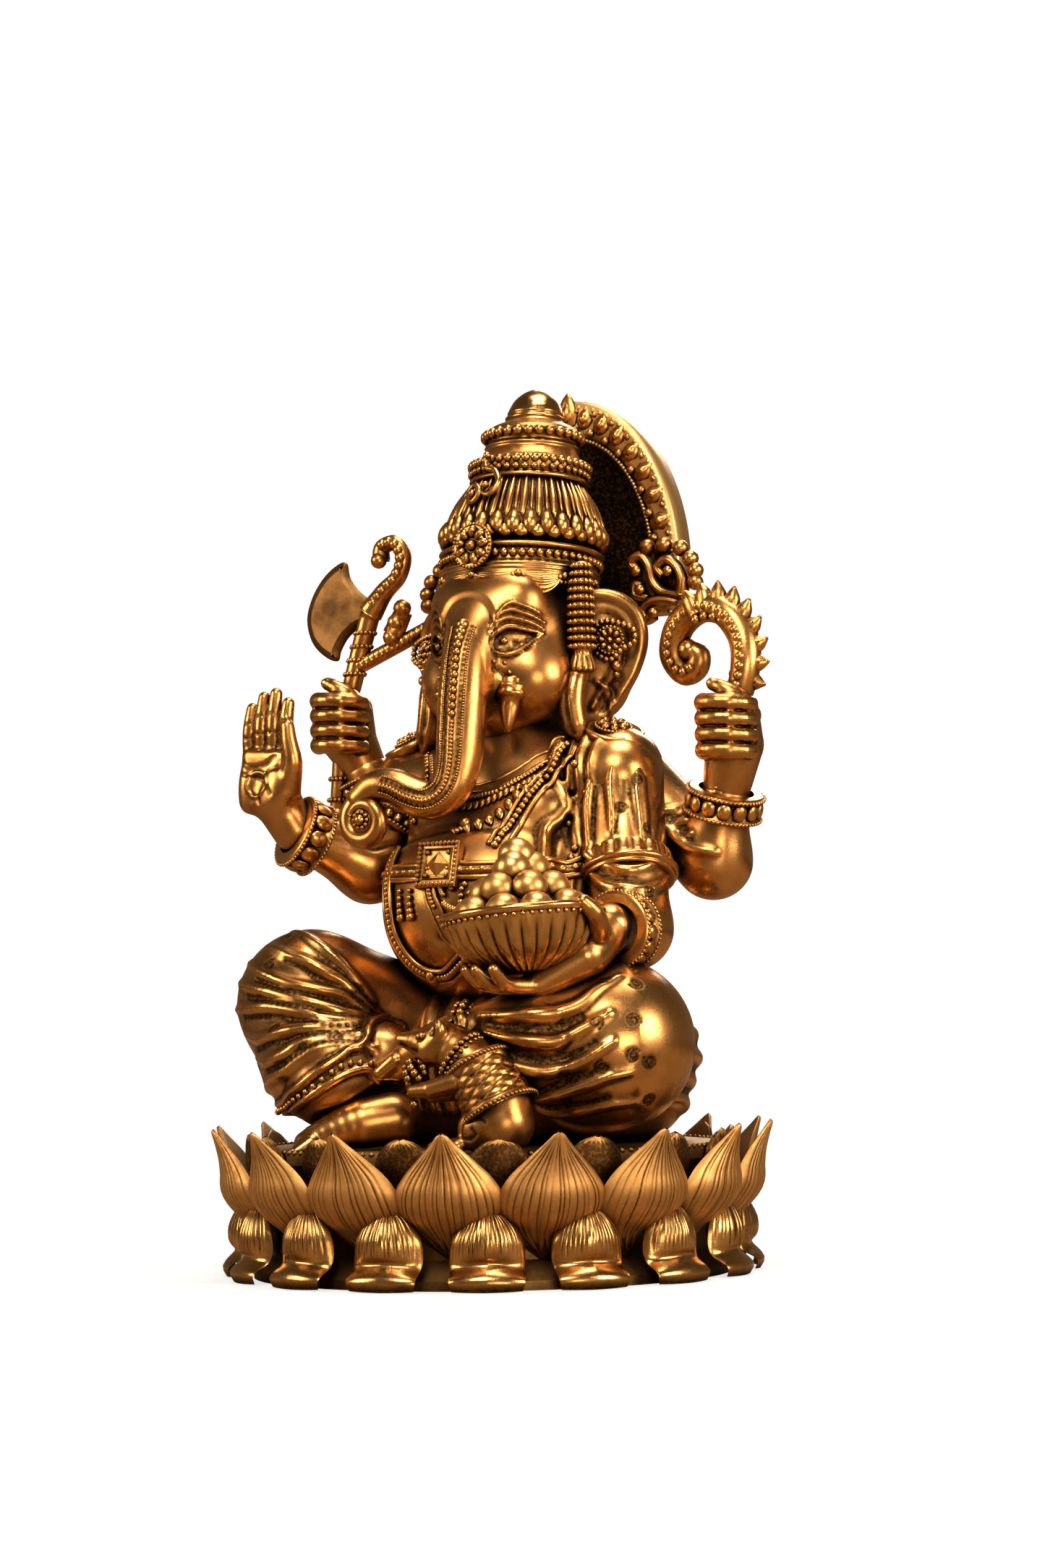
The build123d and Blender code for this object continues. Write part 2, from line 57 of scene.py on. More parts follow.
DECK_LEVEL = 42.05
SEED = 11
Point = tuple[float, float, float]
Line = Sequence[Point]
LOG = logging.getLogger("statuette")


class Slot(Enum):
    """The record's material slots."""

    BASE = "base_brass"
    BODY = "body_brass"
    ORNAMENT = "ornament_brass"
    STEEL = "steel"


def corner(node: str, high: bool) -> np.ndarray:
    """Highest or lowest corner of a frame node's box, in millimetres."""
    return np.array(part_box(node)[1 if high else 0]) / MM


def flowing(points: Line, count: int, closed: bool = False) -> np.ndarray:
    """Runs a smooth curve through points and spaces samples evenly along it.

    Args:
        points: The points that the curve passes through.
        count: How many samples to return.
        closed: Whether the curve joins its own start.

    Returns:
        An array of count points.
    """
    base = np.array(points, float)
    if len(base) < 3 and not closed:
        return base[0] + (base[-1] - base[0]) * np.linspace(0, 1, count)[:, None]
    if closed:
        knots = np.vstack([base[-1:], base, base[:2]])
    else:
        knots = np.vstack([2 * base[0] - base[1], base, 2 * base[-1] - base[-2]])
    dense = []
    for index in range(1, len(knots) - 2):
        p0, p1, p2, p3 = knots[index - 1 : index + 3]
        t = np.linspace(0, 1, 16, endpoint=False)[:, None]
        dense.append(
            0.5
            * (
                2 * p1 + (p2 - p0) * t + (2 * p0 - 5 * p1 + 4 * p2 - p3) * t**2
                + (3 * p1 - p0 - 3 * p2 + p3) * t**3
            )
        )
    run = np.vstack(dense + [knots[-2][None]])
    steps = np.concatenate([[0], np.cumsum(np.linalg.norm(np.diff(run, axis=0), axis=1))])
    wanted = np.linspace(0, steps[-1], count, endpoint=not closed)
    return np.stack([np.interp(wanted, steps, run[:, axis]) for axis in range(base.shape[1])], 1)


def spread(values: Sequence[float], count: int) -> np.ndarray:
    """Stretches a short list of values evenly over count samples."""
    return np.interp(np.linspace(0, 1, count), np.linspace(0, 1, len(values)), values)


def unit(vectors: np.ndarray) -> np.ndarray:
    """Vectors scaled to length one."""
    return vectors / np.maximum(np.linalg.norm(vectors, axis=-1, keepdims=True), 1e-9)


def stance(origins: np.ndarray, normals: np.ndarray, along: np.ndarray) -> np.ndarray:
    """Builds placing frames: local Z follows the normals and local X follows along.

    Args:
        origins: Where each frame stands, shape (n, 3).
        normals: Outward directions, shape (n, 3).
        along: Directions that local X leans to, shape (n, 3).

    Returns:
        Rotation and translation arrays packed as (n, 3, 4).
    """
    up = unit(np.broadcast_to(normals, origins.shape).astype(float))
    side = np.broadcast_to(along, origins.shape).astype(float)
    side = unit(side - (side * up).sum(1, keepdims=True) * up)
    other = np.cross(up, side)
    return np.stack([side, other, up, origins], 2)


def seat(place: Point, out: Point, along: Point = (1.0, 0.0, 0.0)) -> np.ndarray:
    """One placing frame at a place, facing out, with local X leaning to along."""
    return stance(np.array([place], float), np.array([out], float), np.array([along], float))[0]


def full_turn(count: int) -> np.ndarray:
    """Evenly spaced angles round a full turn."""
    return np.linspace(0, 2 * math.pi, count, endpoint=False)


def circle(radius: float, turn: np.ndarray, height: float = 0.0) -> np.ndarray:
    """Points at the given angles of a circle about local Z."""
    return np.stack([radius * np.cos(turn), radius * np.sin(turn), np.full(len(turn), height)], 1)


def carried(points: np.ndarray, pose: np.ndarray) -> np.ndarray:
    """Points moved from a placing frame's own axes to the figure's."""
    return points @ pose[:, :3].T + pose[:, 3]


# ---- clay: a block of signed distances that forms are pressed into -------------------------
class Clay:
    """A block that rounded forms are added to and cut from, and that then becomes a mesh."""

    def __init__(self, low: Point, high: Point, step: float = 0.7) -> None:
        """Fills an empty block between two corners with cells of the given size."""
        self.low = np.array(low, float)
        self.step = step
        size = np.ceil((np.array(high, float) - self.low) / step).astype(int) + 1
        self.values = np.full(tuple(size), 30.0, np.float32)
        self.marks: list[tuple[np.ndarray, float]] = []

    def window(self, low: np.ndarray, high: np.ndarray) -> tuple[tuple[slice, ...], list[np.ndarray]]:
        """Finds the cells between two corners.

        Args:
            low: Lowest corner.
            high: Highest corner.

        Returns:
            Slices into the block and the three open coordinate arrays.
        """
        size = np.array(self.values.shape)
        first = np.clip(np.floor((low - self.low) / self.step).astype(int), 0, size - 1)
        last = np.clip(np.ceil((high - self.low) / self.step).astype(int) + 1, 1, size)
        cut = tuple(slice(int(a), int(b)) for a, b in zip(first, last))
        axes = [self.low[k] + self.step * np.arange(first[k], last[k]) for k in range(3)]
        return cut, [axes[0][:, None, None], axes[1][None, :, None], axes[2][None, None, :]]

    def press(self, cut: tuple[slice, ...], shape: np.ndarray, soft: float, carve: bool) -> None:
        """Joins a distance array to the block, rounding the joint over the given width."""
        old = self.values[cut]
        if carve:
            old = -old
        if soft > 0:
            near = np.maximum(soft - np.abs(old - shape), 0) / soft
            new = np.minimum(old, shape) - near * near * soft / 4
        else:
            new = np.minimum(old, shape)
        self.values[cut] = -new if carve else new

    def ovoid(
        self, centre: Point, radii: Point, soft: float = 4.0, carve: bool = False,
        turn: Matrix | None = None,
    ) -> None:
        """Presses an ellipsoid into the clay.

        Args:
            centre: Its middle.
            radii: Its radius along each own axis.
            soft: How widely its joint is rounded.
            carve: Whether it cuts instead of adding.
            turn: A rotation of its own axes.
        """
        reach = max(radii) if turn is not None else None
        half = np.array([reach] * 3 if reach else radii) + soft + 2 * self.step
        middle_point = np.array(centre, float)
        cut, (x, y, z) = self.window(middle_point - half, middle_point + half)
        px, py, pz = x - centre[0], y - centre[1], z - centre[2]
        if turn is not None:
            m = np.array(turn.to_3x3()).T
            px, py, pz = (m[k][0] * px + m[k][1] * py + m[k][2] * pz for k in range(3))
        near = np.sqrt((px / radii[0]) ** 2 + (py / radii[1]) ** 2 + (pz / radii[2]) ** 2)
        slope = np.sqrt((px / radii[0] ** 2) ** 2 + (py / radii[1] ** 2) ** 2 + (pz / radii[2] ** 2) ** 2)
        self.press(cut, (near * (near - 1) / np.maximum(slope, 1e-6)).astype(np.float32), soft, carve)

    def rope(
        self, points: np.ndarray | Line, radii: Sequence[float] | float, soft: float = 3.0,
        carve: bool = False,
    ) -> None:
        """Presses a round rope of changing thickness through the points.

        Args:
            points: Centres along the rope.
            radii: Its radius at each point, spread evenly, or one radius.
            soft: How widely its joint is rounded.
            carve: Whether it cuts instead of adding.
        """
        run = np.array(points, float)
        thick = spread([radii] * 2 if isinstance(radii, (int, float)) else radii, len(run))
        pad = soft + 2 * self.step + float(thick.max())
        cut, _ = self.window(run.min(0) - pad, run.max(0) + pad)
        shape = np.full(self.values[cut].shape, 30.0, np.float32)
        start = np.array([part.start for part in cut])
        for here, there, r0, r1 in zip(run, run[1:], thick, thick[1:]):
            reach = soft + 2 * self.step + max(r0, r1)
            local, (x, y, z) = self.window(
                np.minimum(here, there) - reach, np.maximum(here, there) + reach,
            )
            inner = tuple(slice(part.start - int(s), part.stop - int(s)) for part, s in zip(local, start))
            step = there - here
            square = float(step @ step) + 1e-9
            along = ((x - here[0]) * step[0] + (y - here[1]) * step[1] + (z - here[2]) * step[2]) / square
            along = np.clip(along, 0, 1)
            gap = np.sqrt(
                (x - here[0] - along * step[0]) ** 2 + (y - here[1] - along * step[1]) ** 2
                + (z - here[2] - along * step[2]) ** 2
            )
            shape[inner] = np.minimum(shape[inner], gap - (r0 + (r1 - r0) * along))
        self.press(cut, shape, soft, carve)

    def slab(
        self, centre: Point, half: Point, rounding: float, soft: float, turn: Matrix, carve: bool = False,
    ) -> None:
        """Presses a rounded, turned box into the clay."""
        reach = float(np.linalg.norm(half)) + soft + 2 * self.step
        middle_point = np.array(centre, float)
        cut, (x, y, z) = self.window(middle_point - reach, middle_point + reach)
        px, py, pz = x - centre[0], y - centre[1], z - centre[2]
        m = np.array(turn.to_3x3()).T
        q = [np.abs(m[k][0] * px + m[k][1] * py + m[k][2] * pz) - (half[k] - rounding) for k in range(3)]
        outside = np.sqrt(sum(np.maximum(part, 0) ** 2 for part in q))
        inside = np.minimum(np.maximum(np.maximum(q[0], q[1]), q[2]), 0)
        self.press(cut, (outside + inside - rounding).astype(np.float32), soft, carve)

    def flat(self, axis: int, level: float, keep_above: bool) -> None:
        """Cuts the block flat at a level across one axis."""
        axes = self.low[axis] + self.step * np.arange(self.values.shape[axis])
        shape = [1, 1, 1]
        shape[axis] = -1
        plane = (level - axes if keep_above else axes - level).reshape(shape)
        self.values = np.maximum(self.values, plane.astype(np.float32))

    def read(self, points: np.ndarray) -> np.ndarray:
        """Signed distance at each point, by linear interpolation."""
        spot = (points - self.low) / self.step
        size = np.array(self.values.shape)
        cell = np.clip(np.floor(spot).astype(int), 0, size - 2)
        part = np.clip(spot - cell, 0, 1)
        total = np.zeros(len(points))
        for dx in (0, 1):
            for dy in (0, 1):
                for dz in (0, 1):
                    weight = np.abs(
                        1 - dx - part[:, 0]
                    ) * np.abs(1 - dy - part[:, 1]) * np.abs(1 - dz - part[:, 2])
                    total += weight * self.values[cell[:, 0] + dx, cell[:, 1] + dy, cell[:, 2] + dz]
        return total

    def slope(self, points: np.ndarray) -> np.ndarray:
        """Outward direction of the surface nearest to each point."""
        span = self.step
        parts = []
        for axis in range(3):
            shift = np.zeros(3)
            shift[axis] = span
            parts.append(self.read(points + shift) - self.read(points - shift))
        return unit(np.stack(parts, 1))

    def settle(self, points: np.ndarray | Line, lift: float = 0.0) -> np.ndarray:
        """Moves points onto the surface, then out from it by lift."""
        run = np.array(points, float)
        for _ in range(5):
            run = run - (self.read(run) - lift)[:, None] * self.slope(run)
        return run

    def laid(self, points: Line, count: int, lift: float = 0.0) -> np.ndarray:
        """Runs a smooth curve through points and lays it on the surface."""
        return self.settle(flowing(points, count), lift)

    def fold(
        self, points: Line, radii: Sequence[float], lift: float = 0.0, soft: float = 2.5, count: int = 22,
    ) -> None:
        """Raises a cloth fold or vein along the surface."""
        run = self.laid(points, count, lift)
        self.rope(run, radii, soft)

    def groove(
        self, points: Line, radii: Sequence[float], lift: float = 0.0, soft: float = 1.5, count: int = 22,
    ) -> None:
        """Sinks a groove along the surface and marks it to be dark."""
        run = self.laid(points, count, lift)
        self.rope(run, radii, soft, carve=True)
        self.marks.append((run, float(max(radii)) * 0.9))

    def curl_mark(self, place: Point, radius: float, spin: float) -> None:
        """Engraves a small curl, as stamped on the draped cloth.

        Args:
            place: Where on the surface it goes.
            radius: Outer radius of the curl.
            spin: Its turn in the surface, in degrees.
        """
        spot = self.settle([place])
        out = self.slope(spot)
        pose = stance(spot, out, np.array([[0.2, 0.1, 1.0]]))[0]
        angle = np.linspace(0, 1.75 * 2 * math.pi, 26) + math.radians(spin)
        reach = radius * (1 - 0.78 * np.linspace(0, 1, 26) ** 0.8)
        flat = np.stack([reach * np.cos(angle), reach * np.sin(angle), np.zeros(26)], 1)
        run = self.settle(carried(flat, pose), 0.15)
        self.rope(run, 0.45, 0.3, carve=True)
        self.marks.append((run, 0.62))

    def mesh(self) -> tuple[np.ndarray, np.ndarray]:
        """Wraps the clay in quads, one point in each cell that the surface crosses.

        Returns:
            Points and quads.
        """
        value = self.values
        inside = value < 0
        corners = [(dx, dy, dz) for dx in (0, 1) for dy in (0, 1) for dz in (0, 1)]
        size = np.array(value.shape) - 1
        count = np.zeros(tuple(size), np.int8)
        for dx, dy, dz in corners:
            count += inside[dx : dx + size[0], dy : dy + size[1], dz : dz + size[2]]
        active = (count > 0) & (count < 8)
        cells = np.argwhere(active)
        number = np.full(tuple(size), -1, np.int64)
        number[active] = np.arange(len(cells))
        at = {c: value[cells[:, 0] + c[0], cells[:, 1] + c[1], cells[:, 2] + c[2]] for c in corners}
        total = np.zeros((len(cells), 3))
        hits = np.zeros(len(cells))
        for a in corners:
            for axis in range(3):
                if a[axis]:
                    continue
                b = tuple(v + (k == axis) for k, v in enumerate(a))
                crosses = (at[a] < 0) != (at[b] < 0)
                part = np.where(crosses, at[a] / np.where(crosses, at[a] - at[b], 1), 0)
                spot = np.tile(np.array(a, float), (len(cells), 1))
                spot[:, axis] += part
                total += spot * crosses[:, None]
                hits += crosses
        points = self.low + self.step * (cells + total / hits[:, None])
        quads = []
        for axis in range(3):
            lead = [slice(1, -1)] * 3
            lead[axis] = slice(0, -1)
            after = list(lead)
            after[axis] = slice(1, None)
            first, second = inside[tuple(lead)], inside[tuple(after)]
            for from_inside in (True, False):
                where = np.argwhere((first == from_inside) & (second != from_inside))
                if not len(where):
                    continue
                where = where + np.array([0 if k == axis else 1 for k in range(3)])
                u, v = [k for k in range(3) if k != axis]
                ring = []
                for du, dv in ((1, 1), (0, 1), (0, 0), (1, 0)):
                    spot = where.copy()
                    spot[:, u] -= du
                    spot[:, v] -= dv
                    ring.append(number[spot[:, 0], spot[:, 1], spot[:, 2]])
                quad = np.stack(ring, 1)
                forward = from_inside == (axis != 1)
                quads.append(quad if forward else quad[:, ::-1])
        return points, np.vstack(quads)


def relaxed(points: np.ndarray, edges: np.ndarray, rounds: int, pull: float) -> np.ndarray:
    """Moves each point towards the middle of its neighbours, several times."""
    heads = np.concatenate([edges[:, 0], edges[:, 1]])
    tails = np.concatenate([edges[:, 1], edges[:, 0]])
    many = np.maximum(np.bincount(heads, minlength=len(points)), 1)[:, None]
    for _ in range(rounds):
        mean = np.stack([np.bincount(heads, points[tails, k], len(points)) for k in range(3)], 1) / many
        points = points + (mean - points) * pull
    return points


def point_normals(points: np.ndarray, quads: np.ndarray) -> np.ndarray:
    """Outward direction at each point of a quad mesh."""
    across = np.cross(
        points[quads[:, 2]] - points[quads[:, 0]], points[quads[:, 3]] - points[quads[:, 1]],
    )
    total = np.zeros_like(points)
    for k in range(4):
        for axis in range(3):
            total[:, axis] += np.bincount(quads[:, k], across[:, axis], len(points))
    return unit(total)


# ---- castings: surfaces gathered into one named object ------------------------------------
def globe(rings: int, sides: int) -> tuple[np.ndarray, np.ndarray]:
    """A unit sphere as points and quads."""
    tilt = np.linspace(0.06, math.pi - 0.06, rings)
    turn = full_turn(sides)
    points = np.stack(
        [
            (np.sin(tilt)[:, None] * np.cos(turn)).ravel(),
            (np.sin(tilt)[:, None] * np.sin(turn)).ravel(), np.repeat(np.cos(tilt), sides),
        ],
        1,
    )
    faces = grid_faces(rings, sides, True)
    points = np.vstack([points, [[0, 0, 1], [0, 0, -1]]])
    top, low = rings * sides, rings * sides + 1
    last = (rings - 1) * sides
    caps = [[top, k, (k + 1) % sides, (k + 1) % sides] for k in range(sides)]
    caps += [[low, last + (k + 1) % sides, last + k, last + k] for k in range(sides)]
    return points, np.vstack([faces, caps])


def grid_faces(rows: int, columns: int, wrap: bool, flip: bool = False) -> np.ndarray:
    """Quads over a grid of points, row by row."""
    last = columns if wrap else columns - 1
    row, column = np.meshgrid(np.arange(rows - 1), np.arange(last), indexing="ij")
    after = (column + 1) % columns
    quads = np.stack(
        [
            row * columns + column, (row + 1) * columns + column, (row + 1) * columns + after,
            row * columns + after,
        ],
        -1,
    ).reshape(-1, 4)
    return quads[:, ::-1] if flip else quads


def leaf_form() -> tuple[np.ndarray, np.ndarray]:
    """A pointed leaf from x=-1 to x=1, unit wide and unit high, with a raised midrib."""
    rows, sides = 9, 10
    along = np.linspace(-1, 1, rows)
    wide = np.clip((1 - along**2) ** 0.5 * np.where(along > 0, 1 - 0.45 * along, 1), 0.03, None)
    turn = full_turn(sides)
    points = []
    for x, w in zip(along, wide):
        y = w * np.cos(turn)
        z = w * np.sin(turn) * np.where(np.sin(turn) > 0, 1 - 0.25 * np.abs(np.cos(turn)), 0.4)
        points.append(np.stack([np.full(sides, x), y, z], 1))
    faces = grid_faces(rows, sides, True)
    caps = [[0, k, k + 1, k + 1] for k in range(1, sides - 1)]
    base = (rows - 1) * sides
    caps += [[base, base + k + 1, base + k, base + k] for k in range(1, sides - 1)]
    return np.vstack(points), np.vstack([faces, caps])


BEAD = globe(7, 12)
LEAF = leaf_form()


class Casting:
    """Gathers surfaces for one piece and makes its object."""

    def __init__(self, name: str) -> None:
        """Starts an empty piece."""
        self.name = name
        self.points: list[np.ndarray] = []
        self.faces: list[np.ndarray] = []
        self.dark: list[np.ndarray] = []
        self.total = 0

    def add(self, points: np.ndarray, faces: np.ndarray, dark: np.ndarray | float = 0.0) -> None:
        """Adds points and faces, with how dark each point is in its recesses."""
        self.points.append(np.asarray(points, float))
        self.faces.append(np.asarray(faces, np.int64) + self.total)
        self.dark.append(np.broadcast_to(np.asarray(dark, float), (len(points),)))
        self.total += len(points)

    def stamp(
        self, form: tuple[np.ndarray, np.ndarray], poses: np.ndarray, sizes: np.ndarray,
        dark: float = 0.0,
    ) -> None:
        """Places a copy of a form at each pose.

        Args:
            form: Points and quads of one copy.
            poses: Placing frames, shape (n, 3, 4).
            sizes: Scale along each own axis, shape (n, 3) or (3,).
            dark: How dark the foot of each copy is.
        """
        points, faces = form
        sizes = np.broadcast_to(np.asarray(sizes, float), (len(poses), 3))
        scaled = points[None] * sizes[:, None, :]
        placed = np.einsum("nij,nmj->nmi", poses[:, :, :3], scaled) + poses[:, None, :, 3]
        shift = np.arange(len(poses))[:, None, None] * len(points)
        shade = np.tile(np.where(points[:, 2] < -0.25, dark, 0.0), len(poses))
        self.add(placed.reshape(-1, 3), (faces[None] + shift).reshape(-1, 4), shade)

    def beads(self, places: np.ndarray, radius: float | np.ndarray, stretch: Point = (1, 1, 1)) -> None:
        """Puts a round bead at each place."""
        poses = stance(np.asarray(places, float), np.array([[0, 0, 1.0]]), np.array([[1.0, 0, 0]]))
        sizes = np.asarray(radius, float).reshape(-1, 1) * np.array([stretch])
        self.stamp(BEAD, poses, np.broadcast_to(sizes, (len(poses), 3)))

    def tube(
        self, run: np.ndarray | Line, radii: Sequence[float] | float, sides: int = 10,
        squash: float = 1.0, up: Point = (0, 0, 1), dark: float = 0.0, closed: bool = False,
    ) -> None:
        """Sweeps a round or squashed section along a run of points.

        Args:
            run: Centres along the tube.
            radii: Its radius, spread evenly along it.
            sides: How many sides the section has.
            squash: Height of the section over its width.
            up: The direction that the section's height leans to.
            dark: How dark it is.
            closed: Whether it joins its own start.
        """
        path = np.array(run, float)
        thick = spread([radii] * 2 if isinstance(radii, (int, float)) else radii, len(path))
        if closed:
            ahead = np.roll(path, -1, 0) - np.roll(path, 1, 0)
        else:
            ahead = np.gradient(path, axis=0)
        ahead = unit(ahead)
        lean = np.broadcast_to(np.array(up, float), path.shape)
        side = unit(np.cross(ahead, lean))
        high = unit(np.cross(side, ahead))
        turn = full_turn(sides)
        points = (
            path[:, None] + side[:, None] * (thick[:, None] * np.cos(turn))[..., None] + high[:, None]
            * (thick[:, None] * np.sin(turn) * squash)[..., None]
        ).reshape(-1, 3)
        faces = grid_faces(len(path), sides, True, flip=True)
        if closed:
            last = (len(path) - 1) * sides
            index = np.arange(sides)
            after = (index + 1) % sides
            close = np.stack([last + after, after, index, last + index], 1)
            faces = np.vstack([faces, close])
        else:
            last = (len(path) - 1) * sides
            caps = [[0, k, k + 1, k + 1] for k in range(1, sides - 1)]
            caps += [[last, last + k + 1, last + k, last + k] for k in range(1, sides - 1)]
            faces = np.vstack([faces, caps])
        self.add(points, faces, dark)

    def lathe(
        self, profile: Sequence[tuple[float, float]], pose: np.ndarray, sides: int = 96, flutes: int = 0,
        depth: float = 0.0, span: tuple[float, float] = (0.0, 1.0), fine: int = 1,
    ) -> None:
        """Turns a profile about local Z, with flutes along part of it.

        Args:
            profile: (radius, height) points, from the outside of the foot round to the end.
            pose: Placing frame, shape (3, 4).
            sides: How many sides it has.
            flutes: How many flutes run up it.
            depth: How deep the flutes are.
            span: The part of the profile that is fluted, from 0 to 1.
            fine: How many times finer the profile is sampled.
        """
        shape = np.array(profile, float)
        if fine > 1:
            shape = flowing(profile, len(profile) * fine)
        turn = full_turn(sides)
        place = np.linspace(0, 1, len(shape))
        fade = np.clip(
            np.minimum(place - span[0], span[1] - place) * 8, 0, 1,
        ) if flutes else np.zeros(len(shape))
        wave = np.abs(np.sin(turn * flutes / 2)) ** 0.7 if flutes else np.zeros(sides)
        radius = shape[:, :1] - depth * fade[:, None] * (1 - wave)[None]
        points = np.stack(
            [radius * np.cos(turn), radius * np.sin(turn), np.broadcast_to(shape[:, 1:], radius.shape)],
            -1,
        ).reshape(-1, 3)
        dark = (fade[:, None] * (1 - wave)[None] ** 2 * 0.9).ravel()
        faces = grid_faces(len(shape), sides, True, flip=True)
        self.add(carried(points, pose), faces, dark)

    def clay(self, block: Clay, smooth: int = 3) -> tuple[np.ndarray, np.ndarray]:
        """Adds a carved block, darkening its hollows and engraved marks.

        Args:
            block: The finished clay.
            smooth: How many light smoothing rounds it gets.

        Returns:
            The points and their outward directions.
        """
        points, quads = block.mesh()
        pairs = np.sort(np.vstack([quads[:, [k, (k + 1) % 4]] for k in range(4)]), 1)
        code = np.unique(pairs[:, 0] * len(points) + pairs[:, 1])
        edges = np.stack([code // len(points), code % len(points)], 1)
        points = relaxed(points, edges, smooth, 0.5)
        normals = point_normals(points, quads)
        near = ((relaxed(points, edges, 5, 0.6) - points) * normals).sum(1)
        wide = ((relaxed(points, edges, 24, 0.6) - points) * normals).sum(1)
        dark = np.clip(near / 0.10, 0, 1) * 0.7 + np.clip(wide / 0.45, 0, 1) * 0.7
        dark = dark - np.clip(-wide / 0.5, 0, 1) * 0.5
        for run, reach in block.marks:
            box = (points > run.min(0) - 2 * reach).all(1) & (points < run.max(0) + 2 * reach).all(1)
            index = np.flatnonzero(box)
            for start in range(0, len(index), 4000):
                part = index[start : start + 4000]
                gap = np.sqrt(((points[part][:, None] - run[None]) ** 2).sum(2).min(1))
                dark[part] = np.maximum(dark[part], np.clip(1.6 - gap / reach, 0, 1))
        self.add(points, quads, np.clip(dark, -0.5, 1))
        return points, normals

    def make(
        self, replaced: Sequence[str], finish: bpy.types.Material, slot: Slot = Slot.ORNAMENT,
        smooth: bool = True,
    ) -> bpy.types.Object:
        """Makes the object, in metres, and hangs it on the frame.

        Args:
            replaced: The frame nodes that it stands for.
            finish: Its material.
            slot: The record slot that it stands for; not used.
            smooth: Whether its faces are shaded as one curved surface.

        Returns:
            The new object.
        """
        points = np.vstack(self.points) * MM
        quads = np.vstack(self.faces)
        triangle = quads[:, 2] == quads[:, 3]
        sizes = np.where(triangle, 3, 4)
        keep = np.ones(quads.shape, bool)
        keep[triangle, 3] = False
        mesh = bpy.data.meshes.new(self.name)
        mesh.vertices.add(len(points))
        mesh.vertices.foreach_set("co", points.ravel())
        mesh.loops.add(int(sizes.sum()))
        mesh.loops.foreach_set("vertex_index", quads[keep])
        mesh.polygons.add(len(quads))
        mesh.polygons.foreach_set("loop_start", np.concatenate([[0], np.cumsum(sizes)[:-1]]))
        mesh.update(calc_edges=True)
        mesh.validate()
        shade = mesh.attributes.new("recess", "FLOAT", "POINT")
        shade.data.foreach_set("value", np.concatenate(self.dark).astype(np.float32))
        mesh.polygons.foreach_set("use_smooth", np.full(len(mesh.polygons), smooth))
        mesh.materials.append(finish)
        piece = bpy.data.objects.new(self.name, mesh)
        bpy.context.scene.collection.objects.link(piece)
        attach(piece, "root")
        if replaced:
            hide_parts(*replaced)
        LOG.info("%s: %d faces", self.name, len(quads))
        return piece


# ---- finishes ------------------------------------------------------------------------------
class Nodes:
    """Short ways to wire a node tree."""

    def __init__(self, tree: bpy.types.NodeTree) -> None:
        """Keeps the tree that nodes are added to."""
        self.tree = tree

    def add(self, kind: str, **settings: object) -> bpy.types.Node:
        """Adds a node; lower-case words set properties, and Title_Case words set or link sockets."""
        node = self.tree.nodes.new(kind)
        for name, value in settings.items():
            if name[0].islower():
                setattr(node, name, value)
                continue
            socket = node.inputs[int(name[1:])] if name[1:].isdigit() else node.inputs[
                name.replace("_", " ")
            ]
            if isinstance(value, bpy.types.NodeSocket):
                self.tree.links.new(value, socket)
            else:
                socket.default_value = value
        return node

    def mix(self, amount: object, a: object, b: object, blend: str = "MIX") -> bpy.types.NodeSocket:
        """Mixes two colours."""
        node = self.add("ShaderNodeMix", data_type="RGBA", blend_type=blend, I0=amount, I6=a, I7=b)
        return node.outputs[2]

    def math(self, kind: str, a: object, b: object = 0.0, c: object = 0.0) -> bpy.types.NodeSocket:
        """Adds a maths node."""
        return self.add("ShaderNodeMath", operation=kind, I0=a, I1=b, I2=c).outputs[0]

    def fit(
        self, value: object, low: float, high: float, to_low: float = 0.0, to_high: float = 1.0,
    ) -> bpy.types.NodeSocket:
        """Maps a value's range to another, clamped."""
        return self.add("ShaderNodeMapRange", I0=value, I1=low, I2=high, I3=to_low, I4=to_high).outputs[0]


